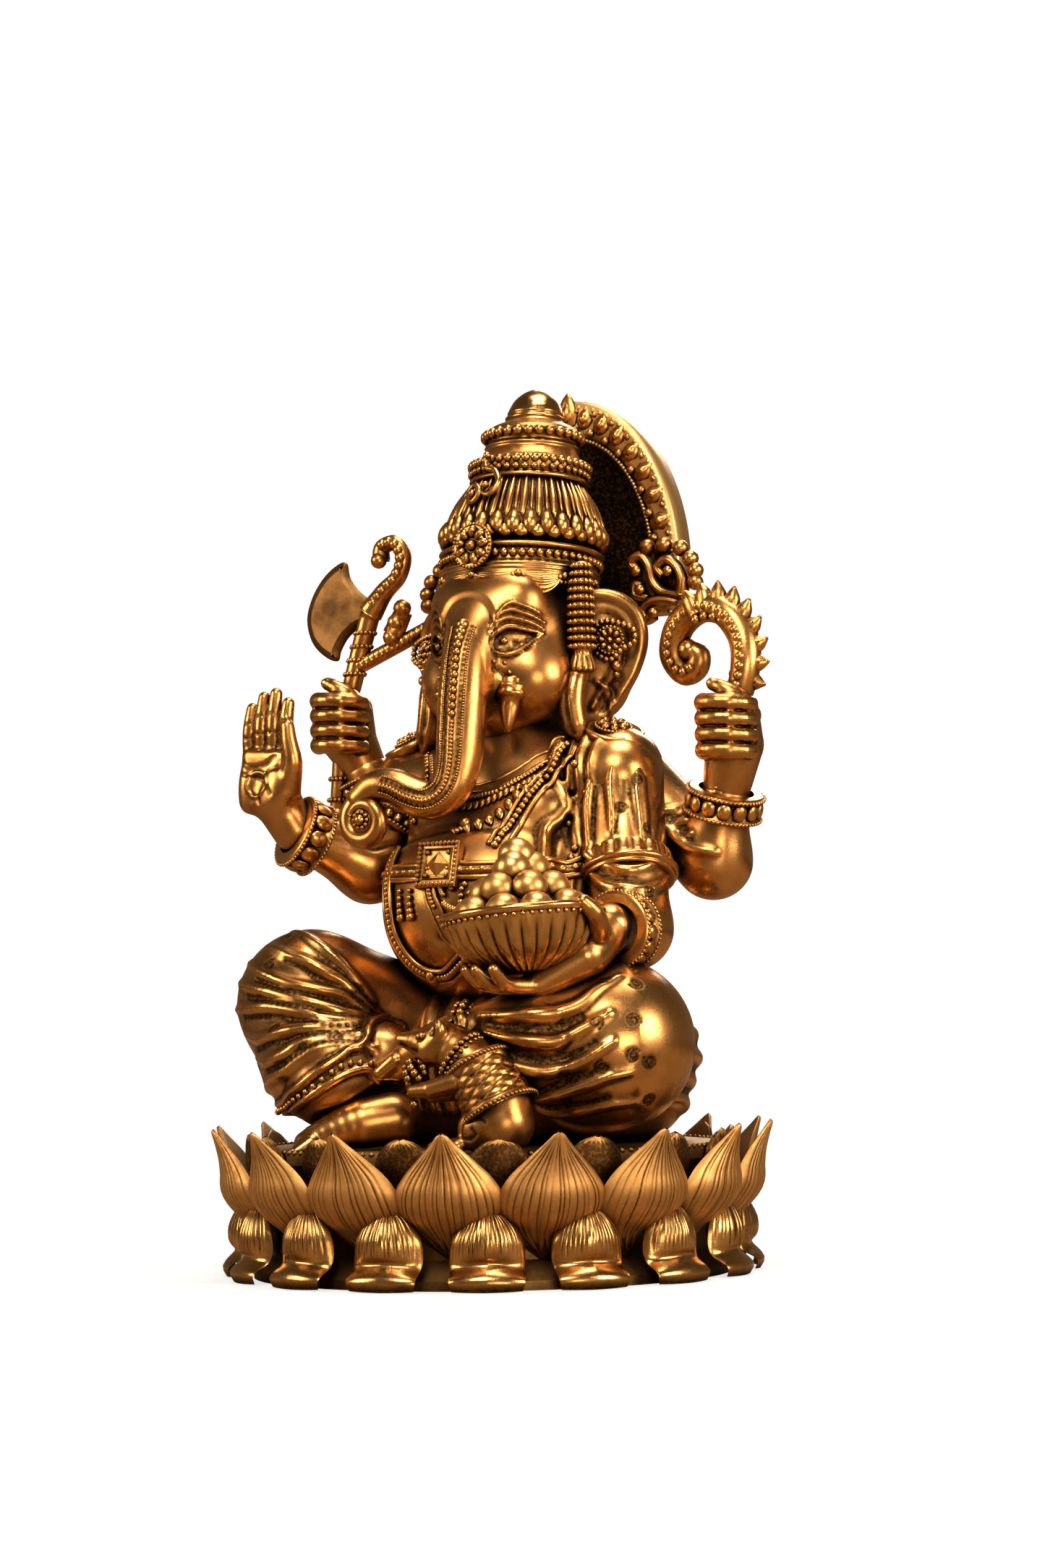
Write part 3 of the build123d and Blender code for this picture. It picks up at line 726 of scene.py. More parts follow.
def patina_group() -> bpy.types.NodeTree:
    """Builds the shared aged-brass effect: recess patina, painted shade, handling wear, mottling and fine
    casting grain.

    Returns:
        A group with inputs for the two brass colours, the patina colour, which also paints the shade, and
        their strengths.
    """
    tree = bpy.data.node_groups.new("aged_brass", "ShaderNodeTree")
    for name, kind, value in (
        ("Bright", "NodeSocketColor", (0.8, 0.5, 0.2, 1)),
        ("Deep", "NodeSocketColor", (0.4, 0.2, 0.06, 1)),
        ("Patina", "NodeSocketColor", (0.02, 0.01, 0.004, 1)),
        ("Recess Strength", "NodeSocketFloat", 1.0), ("Shadow Strength", "NodeSocketFloat", 1.0),
        ("Polish", "NodeSocketFloat", 0.2), ("Dull", "NodeSocketFloat", 0.5),
        ("Mottle Scale", "NodeSocketFloat", 120.0), ("Grain Depth", "NodeSocketFloat", 0.2),
    ):
        tree.interface.new_socket(name, in_out="INPUT", socket_type=kind).default_value = value
    for name, kind in (
        ("Color", "NodeSocketColor"), ("Roughness", "NodeSocketFloat"), ("Height", "NodeSocketFloat"),
    ):
        tree.interface.new_socket(name, in_out="OUTPUT", socket_type=kind)
    n = Nodes(tree)
    inlet = n.add("NodeGroupInput").outputs
    where = n.add("ShaderNodeTexCoord").outputs["Object"]
    recess = n.add("ShaderNodeAttribute", attribute_name="recess").outputs["Fac"]
    # Painted shade: ambient occlusion within 6 mm and 22 mm darkens points that nearby parts hide from the
    # light.
    shelter = n.add("ShaderNodeAmbientOcclusion", samples=6, Distance=0.006).outputs["AO"]
    wide = n.add("ShaderNodeAmbientOcclusion", samples=4, Distance=0.022).outputs["AO"]
    broad = n.add(
        "ShaderNodeTexNoise", Vector=where, Scale=inlet["Mottle Scale"], Detail=5.0, Roughness=0.62,
    )
    fine = n.add("ShaderNodeTexNoise", Vector=where, Scale=900.0, Detail=3.0, Roughness=0.6)
    hair = n.add("ShaderNodeTexNoise", Vector=where, Scale=2600.0, Detail=2.0)
    blotch = n.fit(broad.outputs[0], 0.38, 0.66)
    crevice = n.math("MULTIPLY", n.fit(recess, 0.08, 0.8), inlet["Recess Strength"])
    close_shade = n.math("MULTIPLY", n.fit(shelter, 0.8, 0.3), inlet["Shadow Strength"])
    deep_shade = n.math(
        "MULTIPLY", n.fit(wide, 0.6, 0.1), n.math("MULTIPLY", inlet["Shadow Strength"], 0.75),
    )
    # Recess patina and the painted shade are gathered into one mask that darkens and dulls the brass.
    gathered = n.math("MAXIMUM", n.math("MAXIMUM", crevice, close_shade), deep_shade)
    uneven = n.math("MULTIPLY_ADD", n.fit(fine.outputs[0], 0.3, 0.7), 0.35, 0.8)
    patina_and_shade = n.add("ShaderNodeClamp", I0=n.math("MULTIPLY", gathered, uneven)).outputs[0]
    rubbed = n.fit(recess, 0.0, -0.35)
    metal = n.mix(blotch, inlet["Bright"], inlet["Deep"])
    metal = n.mix(n.math("MULTIPLY", rubbed, 0.7), metal, inlet["Bright"])
    colour = n.mix(patina_and_shade, metal, inlet["Patina"])
    roughness = n.math("MULTIPLY_ADD", blotch, 0.12, inlet["Polish"])
    roughness = n.math("MULTIPLY_ADD", fine.outputs[0], 0.08, roughness)
    spread_rough = n.add(
        "ShaderNodeMix", data_type="FLOAT", I0=patina_and_shade, I2=roughness, I3=inlet["Dull"],
    ).outputs[0]
    height = n.math(
        "MULTIPLY_ADD", hair.outputs[0], 0.35, n.math("MULTIPLY", fine.outputs[0], inlet["Grain Depth"]),
    )
    n.add("NodeGroupOutput", Color=colour, Roughness=spread_rough, Height=height)
    return tree


@dataclass(frozen=True)
class Brass:
    """One brass finish."""

    name: str
    bright: Point
    deep: Point
    # The patina colour also colours the painted shade.
    patina: Point = (0.018, 0.008, 0.0028)
    recess: float = 1.0
    shadow: float = 1.0
    polish: float = 0.2
    dull: float = 0.48
    mottle: float = 120.0
    grain: float = 0.25
    bump: float = 0.12

    def material(self, effect: bpy.types.NodeTree) -> bpy.types.Material:
        """Builds the material around the shared effect.

        Args:
            effect: The aged-brass group.

        Returns:
            The material.
        """
        material = bpy.data.materials.new(self.name)
        material.use_nodes = True
        material.node_tree.nodes.clear()
        n = Nodes(material.node_tree)
        aged = n.add("ShaderNodeGroup", node_tree=effect)
        for socket, value in (
            ("Bright", (*self.bright, 1)), ("Deep", (*self.deep, 1)), ("Patina", (*self.patina, 1)),
            ("Recess Strength", self.recess), ("Shadow Strength", self.shadow), ("Polish", self.polish),
            ("Dull", self.dull), ("Mottle Scale", self.mottle), ("Grain Depth", self.grain),
        ):
            aged.inputs[socket].default_value = value
        bump = n.add("ShaderNodeBump", Strength=self.bump, Distance=0.0006, Height=aged.outputs["Height"])
        shader = n.add(
            "ShaderNodeBsdfPrincipled", Base_Color=aged.outputs["Color"], Metallic=1.0,
            Roughness=aged.outputs["Roughness"], Normal=bump.outputs[0],
        )
        n.add("ShaderNodeOutputMaterial", Surface=shader.outputs[0])
        return material


@dataclass(frozen=True)
class PlainFinish:
    """A simple finish with a faint grain, for the screws."""

    name: str
    colour: Point
    metallic: float
    roughness: float

    def material(self) -> bpy.types.Material:
        """Builds the material."""
        material = bpy.data.materials.new(self.name)
        material.use_nodes = True
        material.node_tree.nodes.clear()
        n = Nodes(material.node_tree)
        where = n.add("ShaderNodeTexCoord").outputs["Object"]
        noise = n.add("ShaderNodeTexNoise", Vector=where, Scale=400.0, Detail=4.0).outputs[0]
        worn = tuple(min(1.0, c * 1.05) for c in self.colour)
        tint = n.mix(noise, (*self.colour, 1), (*worn, 1))
        rough = n.math("MULTIPLY_ADD", noise, 0.08, self.roughness)
        shader = n.add(
            "ShaderNodeBsdfPrincipled", Base_Color=tint, Metallic=self.metallic, Roughness=rough,
        )
        n.add("ShaderNodeOutputMaterial", Surface=shader.outputs[0])
        return material


@dataclass
class Finishes:
    """Every material of the statuette."""

    skin: bpy.types.Material = field(init=False)
    cloth: bpy.types.Material = field(init=False)
    trim: bpy.types.Material = field(init=False)
    petal: bpy.types.Material = field(init=False)
    low_petal: bpy.types.Material = field(init=False)
    drum: bpy.types.Material = field(init=False)
    bowl: bpy.types.Material = field(init=False)
    sweet: bpy.types.Material = field(init=False)
    plate: bpy.types.Material = field(init=False)
    blade: bpy.types.Material = field(init=False)
    shadowed: bpy.types.Material = field(init=False)
    steel: bpy.types.Material = field(init=False)

    def __post_init__(self) -> None:
        """Builds them around one shared effect."""
        effect = patina_group()
        warm, gold, brown = (0.6, 0.295, 0.09), (0.74, 0.41, 0.14), (0.34, 0.145, 0.04)
        self.skin = Brass(
            "skin_brass", warm, brown, polish=0.2, mottle=70, shadow=1.15, recess=0.9,
        ).material(effect)
        self.cloth = Brass(
            "cloth_brass", (0.72, 0.37, 0.12), brown, polish=0.17, mottle=60, shadow=1.1, recess=0.95,
        ).material(effect)
        self.trim = Brass(
            "trim_brass", (0.70, 0.36, 0.11), (0.38, 0.165, 0.046), polish=0.21, shadow=1.4,
        ).material(effect)
        self.petal = Brass(
            "petal_brass", (0.68, 0.365, 0.125), (0.5, 0.255, 0.08), recess=1.0, shadow=0.9, polish=0.4,
            mottle=160, bump=0.3, patina=(0.06, 0.024, 0.007),
        ).material(effect)
        self.low_petal = Brass(
            "low_petal_brass", gold, (0.36, 0.18, 0.055), polish=0.13, shadow=1.0,
        ).material(effect)
        self.drum = Brass(
            "drum_brass", (0.34, 0.19, 0.065), (0.2, 0.1, 0.03), polish=0.4, shadow=1.0,
        ).material(effect)
        self.bowl = Brass(
            "bowl_brass", gold, (0.42, 0.22, 0.065), polish=0.13, shadow=1.1,
        ).material(effect)
        self.sweet = Brass(
            "sweet_brass", gold, (0.52, 0.28, 0.09), polish=0.26, shadow=1.2,
        ).material(effect)
        # A lighter copy of the brass: painted light on the halo plate.
        self.plate = Brass(
            "lit_plate_brass", (0.74, 0.47, 0.19), (0.52, 0.3, 0.11), polish=0.33, mottle=60,
        ).material(effect)
        # A much darker copy of the brass: painted shade on the axe blade.
        self.blade = Brass(
            "shaded_blade_brass", (0.22, 0.108, 0.036), (0.1, 0.047, 0.015), polish=0.4, mottle=90,
        ).material(effect)
        # A darker copy of the brass: painted shade for the mouse and its saddle cloth, which sit in shadow.
        self.shadowed = Brass(
            "shadowed_brass", (0.5, 0.24, 0.072), (0.26, 0.115, 0.032), polish=0.22, shadow=1.3,
        ).material(effect)
        self.steel = PlainFinish("screw_steel", (0.5, 0.49, 0.48), 1.0, 0.3).material()


# ---- studio --------------------------------------------------------------------------------
@dataclass
class Studio:
    """The pale floor, the lights and the camera."""

    turn_deg: float = 32.0
    distance: float = 1140.0
    height: float = 87.0
    yaw_deg: float = 0.62
    rise_deg: float = 3.74
    roll_deg: float = 1.0
    lens_mm: float = 78.54
    floor_half: float = 3.0

    def camera(self) -> None:
        """Places the camera a little left of the figure's front, near its base."""
        turn = math.radians(self.turn_deg)
        place = Vector(
            (self.distance * math.sin(turn), -self.distance * math.cos(turn), self.height)
        ) * MM
        aim, rise, roll = turn - math.radians(self.yaw_deg), math.radians(
            self.rise_deg
        ), math.radians(self.roll_deg)
        level = Vector((-math.sin(aim), math.cos(aim), 0))
        right = Vector((math.cos(aim), math.sin(aim), 0))
        ahead = level * math.cos(rise) + Vector((0, 0, math.sin(rise)))
        up = -level * math.sin(rise) + Vector((0, 0, math.cos(rise)))
        side = right * math.cos(roll) - up * math.sin(roll)
        top = right * math.sin(roll) + up * math.cos(roll)
        data = bpy.data.cameras.new("camera")
        data.lens = self.lens_mm
        data.sensor_width = 36.0
        data.clip_start, data.clip_end = 0.05, 30.0
        camera = bpy.data.objects.new("camera", data)
        camera.matrix_world = Matrix.Translation(place) @ Matrix(
            (side, top, -ahead)
        ).transposed().to_4x4()
        bpy.context.scene.collection.objects.link(camera)
        bpy.context.scene.camera = camera

    def floor(self) -> None:
        """Lays the pale floor."""
        half = self.floor_half
        mesh = bpy.data.meshes.new("floor")
        mesh.from_pydata(
            [(-half, -half, 0), (half, -half, 0), (half, half, 0), (-half, half, 0)], [], [(0, 1, 2, 3)],
        )
        floor = bpy.data.objects.new("floor", mesh)
        mesh.materials.append(self.floor_finish())
        bpy.context.scene.collection.objects.link(floor)

    @staticmethod
    def floor_finish() -> bpy.types.Material:
        """Builds the floor's finish: white where seen, faintly shaded by the base, dim in reflections."""
        material = bpy.data.materials.new("pale_floor")
        material.use_nodes = True
        material.node_tree.nodes.clear()
        n = Nodes(material.node_tree)
        where = n.add("ShaderNodeTexCoord").outputs["Object"]
        reach = n.add("ShaderNodeVectorMath", operation="LENGTH", I0=where).outputs["Value"]
        seen = n.add("ShaderNodeLightPath").outputs["Is Camera Ray"]
        pale = n.add("ShaderNodeBsdfDiffuse", Color=(0.9, 0.88, 0.86, 1))
        dim = n.add("ShaderNodeBsdfDiffuse", Color=(0.2, 0.14, 0.09, 1))
        white = n.add("ShaderNodeEmission", Color=(1, 1, 1, 1), Strength=1.0)
        near = n.add(
            "ShaderNodeMixShader", I0=n.fit(reach, 0.09, 0.14, 0.75, 1.0), I1=pale.outputs[0],
            I2=white.outputs[0],
        )
        floor = n.add("ShaderNodeMixShader", I0=seen, I1=dim.outputs[0], I2=near.outputs[0])
        n.add("ShaderNodeOutputMaterial", Surface=floor.outputs[0])
        return material

    def lamp(self, name: str, place: Point, aim: Point, size: float, watts: float, colour: Point) -> None:
        """Hangs a soft square lamp, in metres, turned to a point."""
        data = bpy.data.lights.new(name, "AREA")
        data.size, data.energy, data.color = size, watts, colour
        lamp = bpy.data.objects.new(name, data)
        lamp.location = place
        lamp.rotation_euler = (Vector(aim) - Vector(place)).to_track_quat("-Z", "Y").to_euler()
        bpy.context.scene.collection.objects.link(lamp)

    def lights(self) -> None:
        """Hangs warm lamps above and beside, and a backdrop that shows white but reflects dim."""
        aim = (0.0, 0.0, 0.15)
        self.lamp("key", (0.3, -0.8, 0.95), aim, 0.4, 10.0, (1.0, 0.9, 0.74))
        self.lamp("side", (-0.75, -0.75, 0.5), aim, 0.46, 5.8, (1.0, 0.86, 0.68))
        self.lamp("top", (0.1, 0.1, 1.25), aim, 0.5, 11.5, (1.0, 0.92, 0.8))
        self.lamp("right", (1.1, -0.05, 0.45), aim, 0.5, 10.0, (1.0, 0.88, 0.72))
        self.lamp("low", (0.95, -0.9, 0.12), aim, 0.36, 4.6, (1.0, 0.84, 0.64))
        self.lamp("back", (-0.3, 1.0, 0.8), aim, 0.5, 7.0, (1.0, 0.9, 0.8))
        world = bpy.data.worlds.new("backdrop")
        world.use_nodes = True
        world.node_tree.nodes.clear()
        n = Nodes(world.node_tree)
        path = n.add("ShaderNodeLightPath")
        where = n.add("ShaderNodeTexCoord").outputs["Generated"]
        high = n.add("ShaderNodeSeparateXYZ", Vector=where).outputs["Z"]
        glow = n.mix(n.fit(high, -0.2, 0.9), (0.22, 0.15, 0.09, 1), (0.05, 0.036, 0.022, 1))
        dim = n.add("ShaderNodeBackground", Color=glow, Strength=1.0)
        white = n.add("ShaderNodeBackground", Color=(1, 1, 1, 1), Strength=1.0)
        seen = n.add(
            "ShaderNodeMixShader", I0=path.outputs["Is Camera Ray"], I1=dim.outputs[0],
            I2=white.outputs[0],
        )
        n.add("ShaderNodeOutputWorld", Surface=seen.outputs[0])
        bpy.context.scene.world = world
        bpy.context.scene.view_settings.view_transform = "Standard"
        bpy.context.scene.view_settings.look = "None"

    def build(self) -> None:
        """Sets up the whole studio."""
        self.camera()
        self.floor()
        self.lights()


# ---- lotus base ----------------------------------------------------------------------------
@dataclass
class LotusBase:
    """The drum with its two rows of petals."""

    finishes: Finishes
    count: int = 16
    upper_phase: float = -45.0
    lower_share: float = 0.36
    lines: int = 15

    def petal(
        self, cast: Casting, spine: Sequence[tuple[float, float, float, float]], angle: float, seed: int,
        engraved: tuple[float, float], depth: float, crest: float, shaded_foot: float,
        grid: tuple[int, int] = (34, 80),
    ) -> None:
        """Adds one petal.

        Args:
            cast: The piece it goes into.
            spine: (radius, height, half width, bulge) from foot to tip.
            angle: Where it stands round the base, in degrees.
            seed: Seed for its uneven engraving.
            engraved: The part of its length that the lines cover.
            depth: How deep the lines are.
            crest: How sharply its middle stands up.
            shaded_foot: The part of its length, from the foot, that is painted dark as shade where other
                petals overlap it.
            grid: How many points it has along and across.
        """
        rows, columns = grid
        rng = np.random.default_rng(seed)
        shape = flowing([tuple(p) for p in spine], rows)
        along = np.linspace(0, 1, rows)[:, None]
        across = np.linspace(-1, 1, columns)[None]
        run = np.gradient(shape[:, :2], axis=0)
        out = unit(np.stack([run[:, 1], -run[:, 0]], 1))
        wide, bulge = np.maximum(shape[:, 2:3], 0.12), shape[:, 3:4]
        dome = (1 - across**2).clip(0) ** 0.62 * (1 - crest) + (1 - np.abs(across)) * crest
        cut = np.zeros((rows, columns))
        for index in range(self.lines):
            start = -0.9 + 1.8 * (index + 0.5) / self.lines + rng.uniform(-0.03, 0.03)
            first = engraved[0] + rng.uniform(-0.06, 0.06)
            last = engraved[1] + rng.uniform(-0.1, 0.05)
            wander = 0.012 * np.sin(along * rng.uniform(4, 8) + rng.uniform(0, 6))
            width = rng.uniform(0.14, 0.3) / wide
            here = np.exp(-(((across - start - wander) / width) ** 2))
            fade = np.clip((along - first) / 0.12, 0, 1) * np.clip((last - along) / 0.12, 0, 1)
            cut = np.maximum(cut, here * fade * rng.uniform(0.6, 1.0))
        lift = bulge * dome - depth * cut
        backing = -0.9 * (1 - across**2).clip(0) ** 0.5
        turn = math.radians(angle)
        for face, offset in enumerate((lift, np.broadcast_to(backing, lift.shape))):
            cup = 0.16 * np.abs(across) ** 2.4 * wide
            radius = shape[:, :1] + out[:, :1] * offset - cup
            height = shape[:, 1:2] + out[:, 1:2] * offset
            side = wide * across
            x = radius * math.cos(turn) - side * math.sin(turn)
            y = radius * math.sin(turn) + side * math.cos(turn)
            points = np.stack(
                [x, y, np.broadcast_to(np.maximum(height, 0.15), x.shape)], -1,
            ).reshape(-1, 3)
            # Painted shade: the petal is darkened from its foot over the given share of its length, and its
            # back face is darkened all over.
            ragged = 0.05 * np.sin(across * 23 + seed) + 0.035 * np.sin(across * 57 + 2 * seed)
            foot = np.clip((shaded_foot - along + ragged) / 0.07, 0, 1) * 0.9
            sides = np.clip((np.abs(across) - 0.9) / 0.1, 0, 1) * 0.35
            dark = np.maximum(
                np.maximum(cut * 1.0, foot), sides,
            ) if face == 0 else np.full(lift.shape, 0.45)
            dark = np.where((along > 0.95) & (face == 0), -0.3, dark)
            cast.add(points, grid_faces(rows, columns, False, flip=face == 0), dark.ravel())

    def build(self) -> None:
        """Builds both rows and dresses the drum."""
        drum_height = float(corner("base_drum", True)[2])
        reach = float(corner("upper_petals", True)[0])
        tip = float(corner("upper_petals", True)[2])
        upper = [
            (reach - 21.5, 9.0, 2.0, 1.0), (reach - 19.6, 13.5, 7.6, 2.0),
            (reach - 17.0, 18.6, 13.0, 3.4), (reach - 12.4, 24.4, 16.8, 5.2),
            (reach - 8.8, 30.0, 17.0, 5.8), (reach - 7.2, 35.6, 13.8, 4.6), (reach - 5.2, 40.6, 9.0, 3.2),
            (reach - 2.6, 45.2, 4.4, 1.8), (reach - 0.5, tip - 0.6, 1.5, 0.7),
            (reach - 0.1, tip - 0.2, 0.3, 0.3),
        ]
        inner = [
            (reach - 17.0, 30.0, 8.0, 1.5), (reach - 15.4, 37.0, 10.0, 3.0),
            (reach - 14.6, 42.0, 8.6, 2.6), (reach - 13.8, 45.5, 5.0, 1.6),
            (reach - 13.2, tip - 2.2, 0.8, 0.6),
        ]
        lower_reach = float(corner("lower_petals", True)[0])
        lower = [
            (lower_reach - 2.2, 0.5, 11.0, 0.6), (lower_reach - 1.2, 3.0, 11.8, 1.0),
            (lower_reach - 2.6, 4.6, 11.8, 1.6), (lower_reach - 6.6, 7.0, 11.6, 3.2),
            (lower_reach - 8.0, 10.6, 11.8, 5.6), (lower_reach - 8.0, 15.6, 11.2, 6.0),
            (lower_reach - 8.2, 20.2, 8.6, 4.4), (lower_reach - 8.6, 23.6, 4.8, 2.2),
            (lower_reach - 9.0, 25.6, 0.8, 0.4),
        ]
        step = 360 / self.count
        rise, fall = Casting("upper_petal_row"), Casting("lower_petal_row")
        for index in range(self.count):
            self.petal(
                rise, upper, self.upper_phase + step * index, SEED + index, (0.14, 0.97), 0.42, 0.12, 0.2,
            )
            self.petal(
                rise, inner, self.upper_phase + step * (index + 0.5), SEED + 80 + index, (0.1, 0.9), 0.2,
                0.1, 0.85, (16, 30),
            )
            self.petal(
                fall, lower, self.upper_phase + step * (index + self.lower_share), SEED + 40 + index,
                (0.36, 1.0), 0.45, 0.4, 0.0,
            )
        rise.make(["upper_petals"], self.finishes.petal, Slot.BASE)
        fall.make(["lower_petals"], self.finishes.low_petal, Slot.BASE)
        self.mouldings(drum_height)
        for node, finish in (("base_drum", self.finishes.drum), ("fixing_screws", self.finishes.steel)):
            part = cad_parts[node]
            part.data.materials.clear()
            part.data.materials.append(finish)

    def mouldings(self, top: float) -> None:
        """Adds the bead moulding under the deck's edge."""
        radius = float(corner("base_drum", True)[0])
        cast = Casting("deck_moulding")
        turn = full_turn(140)
        ring = np.stack(
            [(radius - 2.6) * np.cos(turn), (radius - 2.6) * np.sin(turn), np.full(140, top - 0.1)], 1,
        )
        cast.beads(ring, 0.9)
        cast.make([], self.finishes.drum, Slot.BASE)


# ---- the seated body -----------------------------------------------------------------------
@dataclass
class Body:
    """Torso, lap, legs and feet, carved with their cloth."""

    finishes: Finishes
    belly: Point = (0.0, 9.0, 121.0)
    belly_radius: float = 40.0
    chest: Point = (0.0, 21.0, 155.0)

    def torso(self) -> Clay:
        """Carves the chest, pot belly, shoulders and neck with the shawl's folds over the left side."""
        block = Clay((-50, -36, 80), (58, 54, 192), 0.75)
        block.ovoid(self.belly, (self.belly_radius, self.belly_radius, 36), 0)
        block.ovoid(self.chest, (38, 27, 27), 12)
        block.rope([(-32, 22, 166), (32, 22, 166)], 13, 8)
        block.rope([(0, 22, 168), (0, 22, 188)], [19, 16], 7)
        block.ovoid((-15, -1, 152), (13, 8, 9), 7)
        block.ovoid((16, -1, 152), (13, 8, 9), 7)
        block.ovoid((42, 17, 163), (14, 15, 14), 8)
        block.ovoid((-40, 19, 163), (13, 14, 13), 8)
        block.groove(
            [(-30, -4, 141), (-16, -16, 143), (0, -18, 144), (16, -14, 144)], [0.3, 1.1, 0.3], 0.2, 3,
        )
        shawl = (
            [
                (28.4, 12, 176), (29.4, 7.5, 165), (29.6, 5.0, 154), (29.6, 3, 146), (33.8, -3, 134),
                (35, -8, 120),
            ],
            [
                (34, 12, 175), (35.4, 5, 163), (34.8, 3, 152), (34.6, 0, 143), (36.8, -2, 132),
                (37.5, -6, 118),
            ],
            [(24, 9, 172), (25, 4, 163), (25.5, 2, 154), (26, -6, 144), (29, -12, 134), (31, -15, 120)],
            [(40, 10, 172), (40, 4, 160), (40, 2, 150), (40, -1, 140)],
        )
        for line, thick in zip(shawl, (1.6, 2.0, 2.0, 1.4)):
            block.fold(line, [thick, thick], 0.2, 1.6)
        for line in (
            [(26.5, 10, 172), (27, 4, 160), (27.6, 2, 150), (31, -8, 136), (33, -12, 118)],
            [(32, 11, 173), (32.4, 5, 160), (32.2, 3, 150), (35.5, -4, 134), (36.5, -8, 118)],
        ):
            block.groove(line, [0.8, 1.0, 0.7], 0.3, 1.2)
        block.ovoid((0, -31.6, 110), (2.2, 3, 2.2), 2.5, carve=True)
        return block

    def lap(self) -> Clay:
        """Carves the hips with the cloth gathered in the lap."""
        block = Clay((-66, -28, 41), (66, 70, 104), 0.9)
        block.ovoid((0, 22, 71), (62, 44, 28.8), 0)
        block.ovoid((0, 30, 86), (42, 34, 16), 10)
        block.ovoid((0, 24, 54), (54, 42, 20), 10)
        for shift in (-22, -13, -4, 5, 14, 23):
            block.fold(
                [(shift * 1.2, 0, 95), (shift, -16, 84), (shift * 0.8, -22, 70), (shift * 0.7, -20, 54)],
                [1.2, 2.4, 2.2, 1.4], 0.3, 3,
            )
        for side in (-1, 1):
            for level in range(5):
                z = 52 + 8 * level
                block.fold(
                    [
                        (side * 30, 62, z - 4), (side * 52, 44, z), (side * 60, 22, z + 3),
                        (side * 52, 0, z + 1),
                    ],
                    [0.6, 1.7, 1.9, 0.8], 0.1, 3,
                )
        block.flat(2, DECK_LEVEL, keep_above=True)
        return block

    def right_leg(self) -> Clay:
        """Carves the raised right leg, its folds running from the knee into the lap, and the hem band."""
        block = Clay((-82, -66, 42), (2, 38, 116), 0.62)
        block.rope([(-26, 8, 72), (-55, -24, 89.5)], [26, 23.5], 0)
        block.rope([(-55, -24, 89.5), (-42, -38, 71), (-34, -43.5, 65)], [23.5, 19.8, 15.5], 6)
        block.rope([(-34, -40, 66), (-20, -34, 70)], [15, 13], 8)
        folds = (
            [
                (-58, -29, 111.5), (-51.5, -33.2, 110.6), (-45.2, -35.1, 107.5), (-36.8, -33.7, 100.7),
                (-29, -29, 90),
            ],
            [
                (-63, -36, 107), (-51.7, -41.4, 104.6), (-46.2, -41.0, 102.7), (-39.9, -39.8, 99.0),
                (-33.8, -36.2, 94.7), (-27, -30, 86),
            ],
            [
                (-69, -36, 102), (-60, -44, 99.5), (-48.1, -46.7, 95.6), (-38.3, -44.3, 93.1),
                (-31.4, -37.6, 90.5), (-25, -28, 82),
            ],
            [
                (-72, -36, 96), (-64, -45, 95), (-48.9, -48.7, 91.5), (-38.6, -48.0, 89.0),
                (-30.5, -43.3, 86.4), (-24, -30, 80),
            ],
            [
                (-74, -36, 88), (-66.3, -44.4, 88.4), (-50.1, -50.2, 87.6), (-39.6, -50.8, 85.6),
                (-31.4, -48.2, 83.0), (-24, -34, 78),
            ],
            [
                (-68, -42, 80), (-58, -50, 78), (-47, -54.5, 79.5), (-37.4, -54.1, 80.8),
                (-30.7, -49.3, 80.2), (-23, -36, 76),
            ],
            [
                (-62, -47, 72), (-50.2, -55.5, 71.0), (-41.8, -57.1, 73.3), (-36.2, -55.8, 76.1),
                (-28.7, -50.2, 76.7), (-21, -38, 73),
            ],
            [
                (-54, -50, 64), (-47.6, -55.2, 66.0), (-41.2, -57.0, 68.0), (-33.8, -55.4, 72.0),
                (-26, -49.2, 73.5), (-19, -40, 72),
            ],
            [(-70, -10, 84), (-72, -22, 78), (-66, -34, 70), (-56, -46, 62)],
            [(-60, 0, 76), (-64, -14, 70), (-60, -28, 62), (-50, -42, 56)],
        )
        for index, line in enumerate(folds):
            block.fold(line, [0.2, 1.3, 2.2, 1.8, 0.9], 0.15, 2.4, 26)
            if index < 7:
                low = [(x, y, z - 3.1) for x, y, z in line[1:]]
                block.groove(low, [0.4, 1.3, 1.3, 0.5], 0.5, 2.0, 24)
        marks = [
            (-57.0, -43.8, 101.7), (-41.5, -37.8, 102.6), (-31.8, -33.3, 92.9), (-58.3, -33.6, 110.5),
            (-58.4, -47.7, 90.8), (-33.5, -49.3, 84.2), (-27.4, -50.0, 75.7), (-34.4, -55.5, 72.6),
            (-23.5, -41.2, 76.0), (-49.0, -53.9, 80.3), (-30.6, -41.0, 87.9), (-70, -14, 103),
            (-77, -24, 90), (-72, -30, 78), (-62, -8, 108),
        ]
        for index, place in enumerate(marks):
            block.curl_mark(place, 2.5, 70.0 * index)
        for shift, width in ((0.0, 1.1), (-4.6, 1.1)):
            block.fold([(x, y, z + shift) for x, y, z in self.hem_line()], [width, width], 0.5, 1.2, 40)
        block.rope([(-30, -46, 54), (-8, -34, 60)], [7.5, 7.5], 3, carve=True)
        block.flat(2, DECK_LEVEL, keep_above=True)
        return block

    @staticmethod
    def hem_line() -> list[Point]:
        """Where the right hem's upper ridge runs."""
        return [
            (-58, -44, 55), (-46, -52, 58.5), (-36.3, -55.6, 63.0), (-29.5, -54.3, 67.6),
            (-25.0, -49.9, 71.1), (-21.9, -42.2, 72.6), (-20.4, -30.8, 73),
        ]

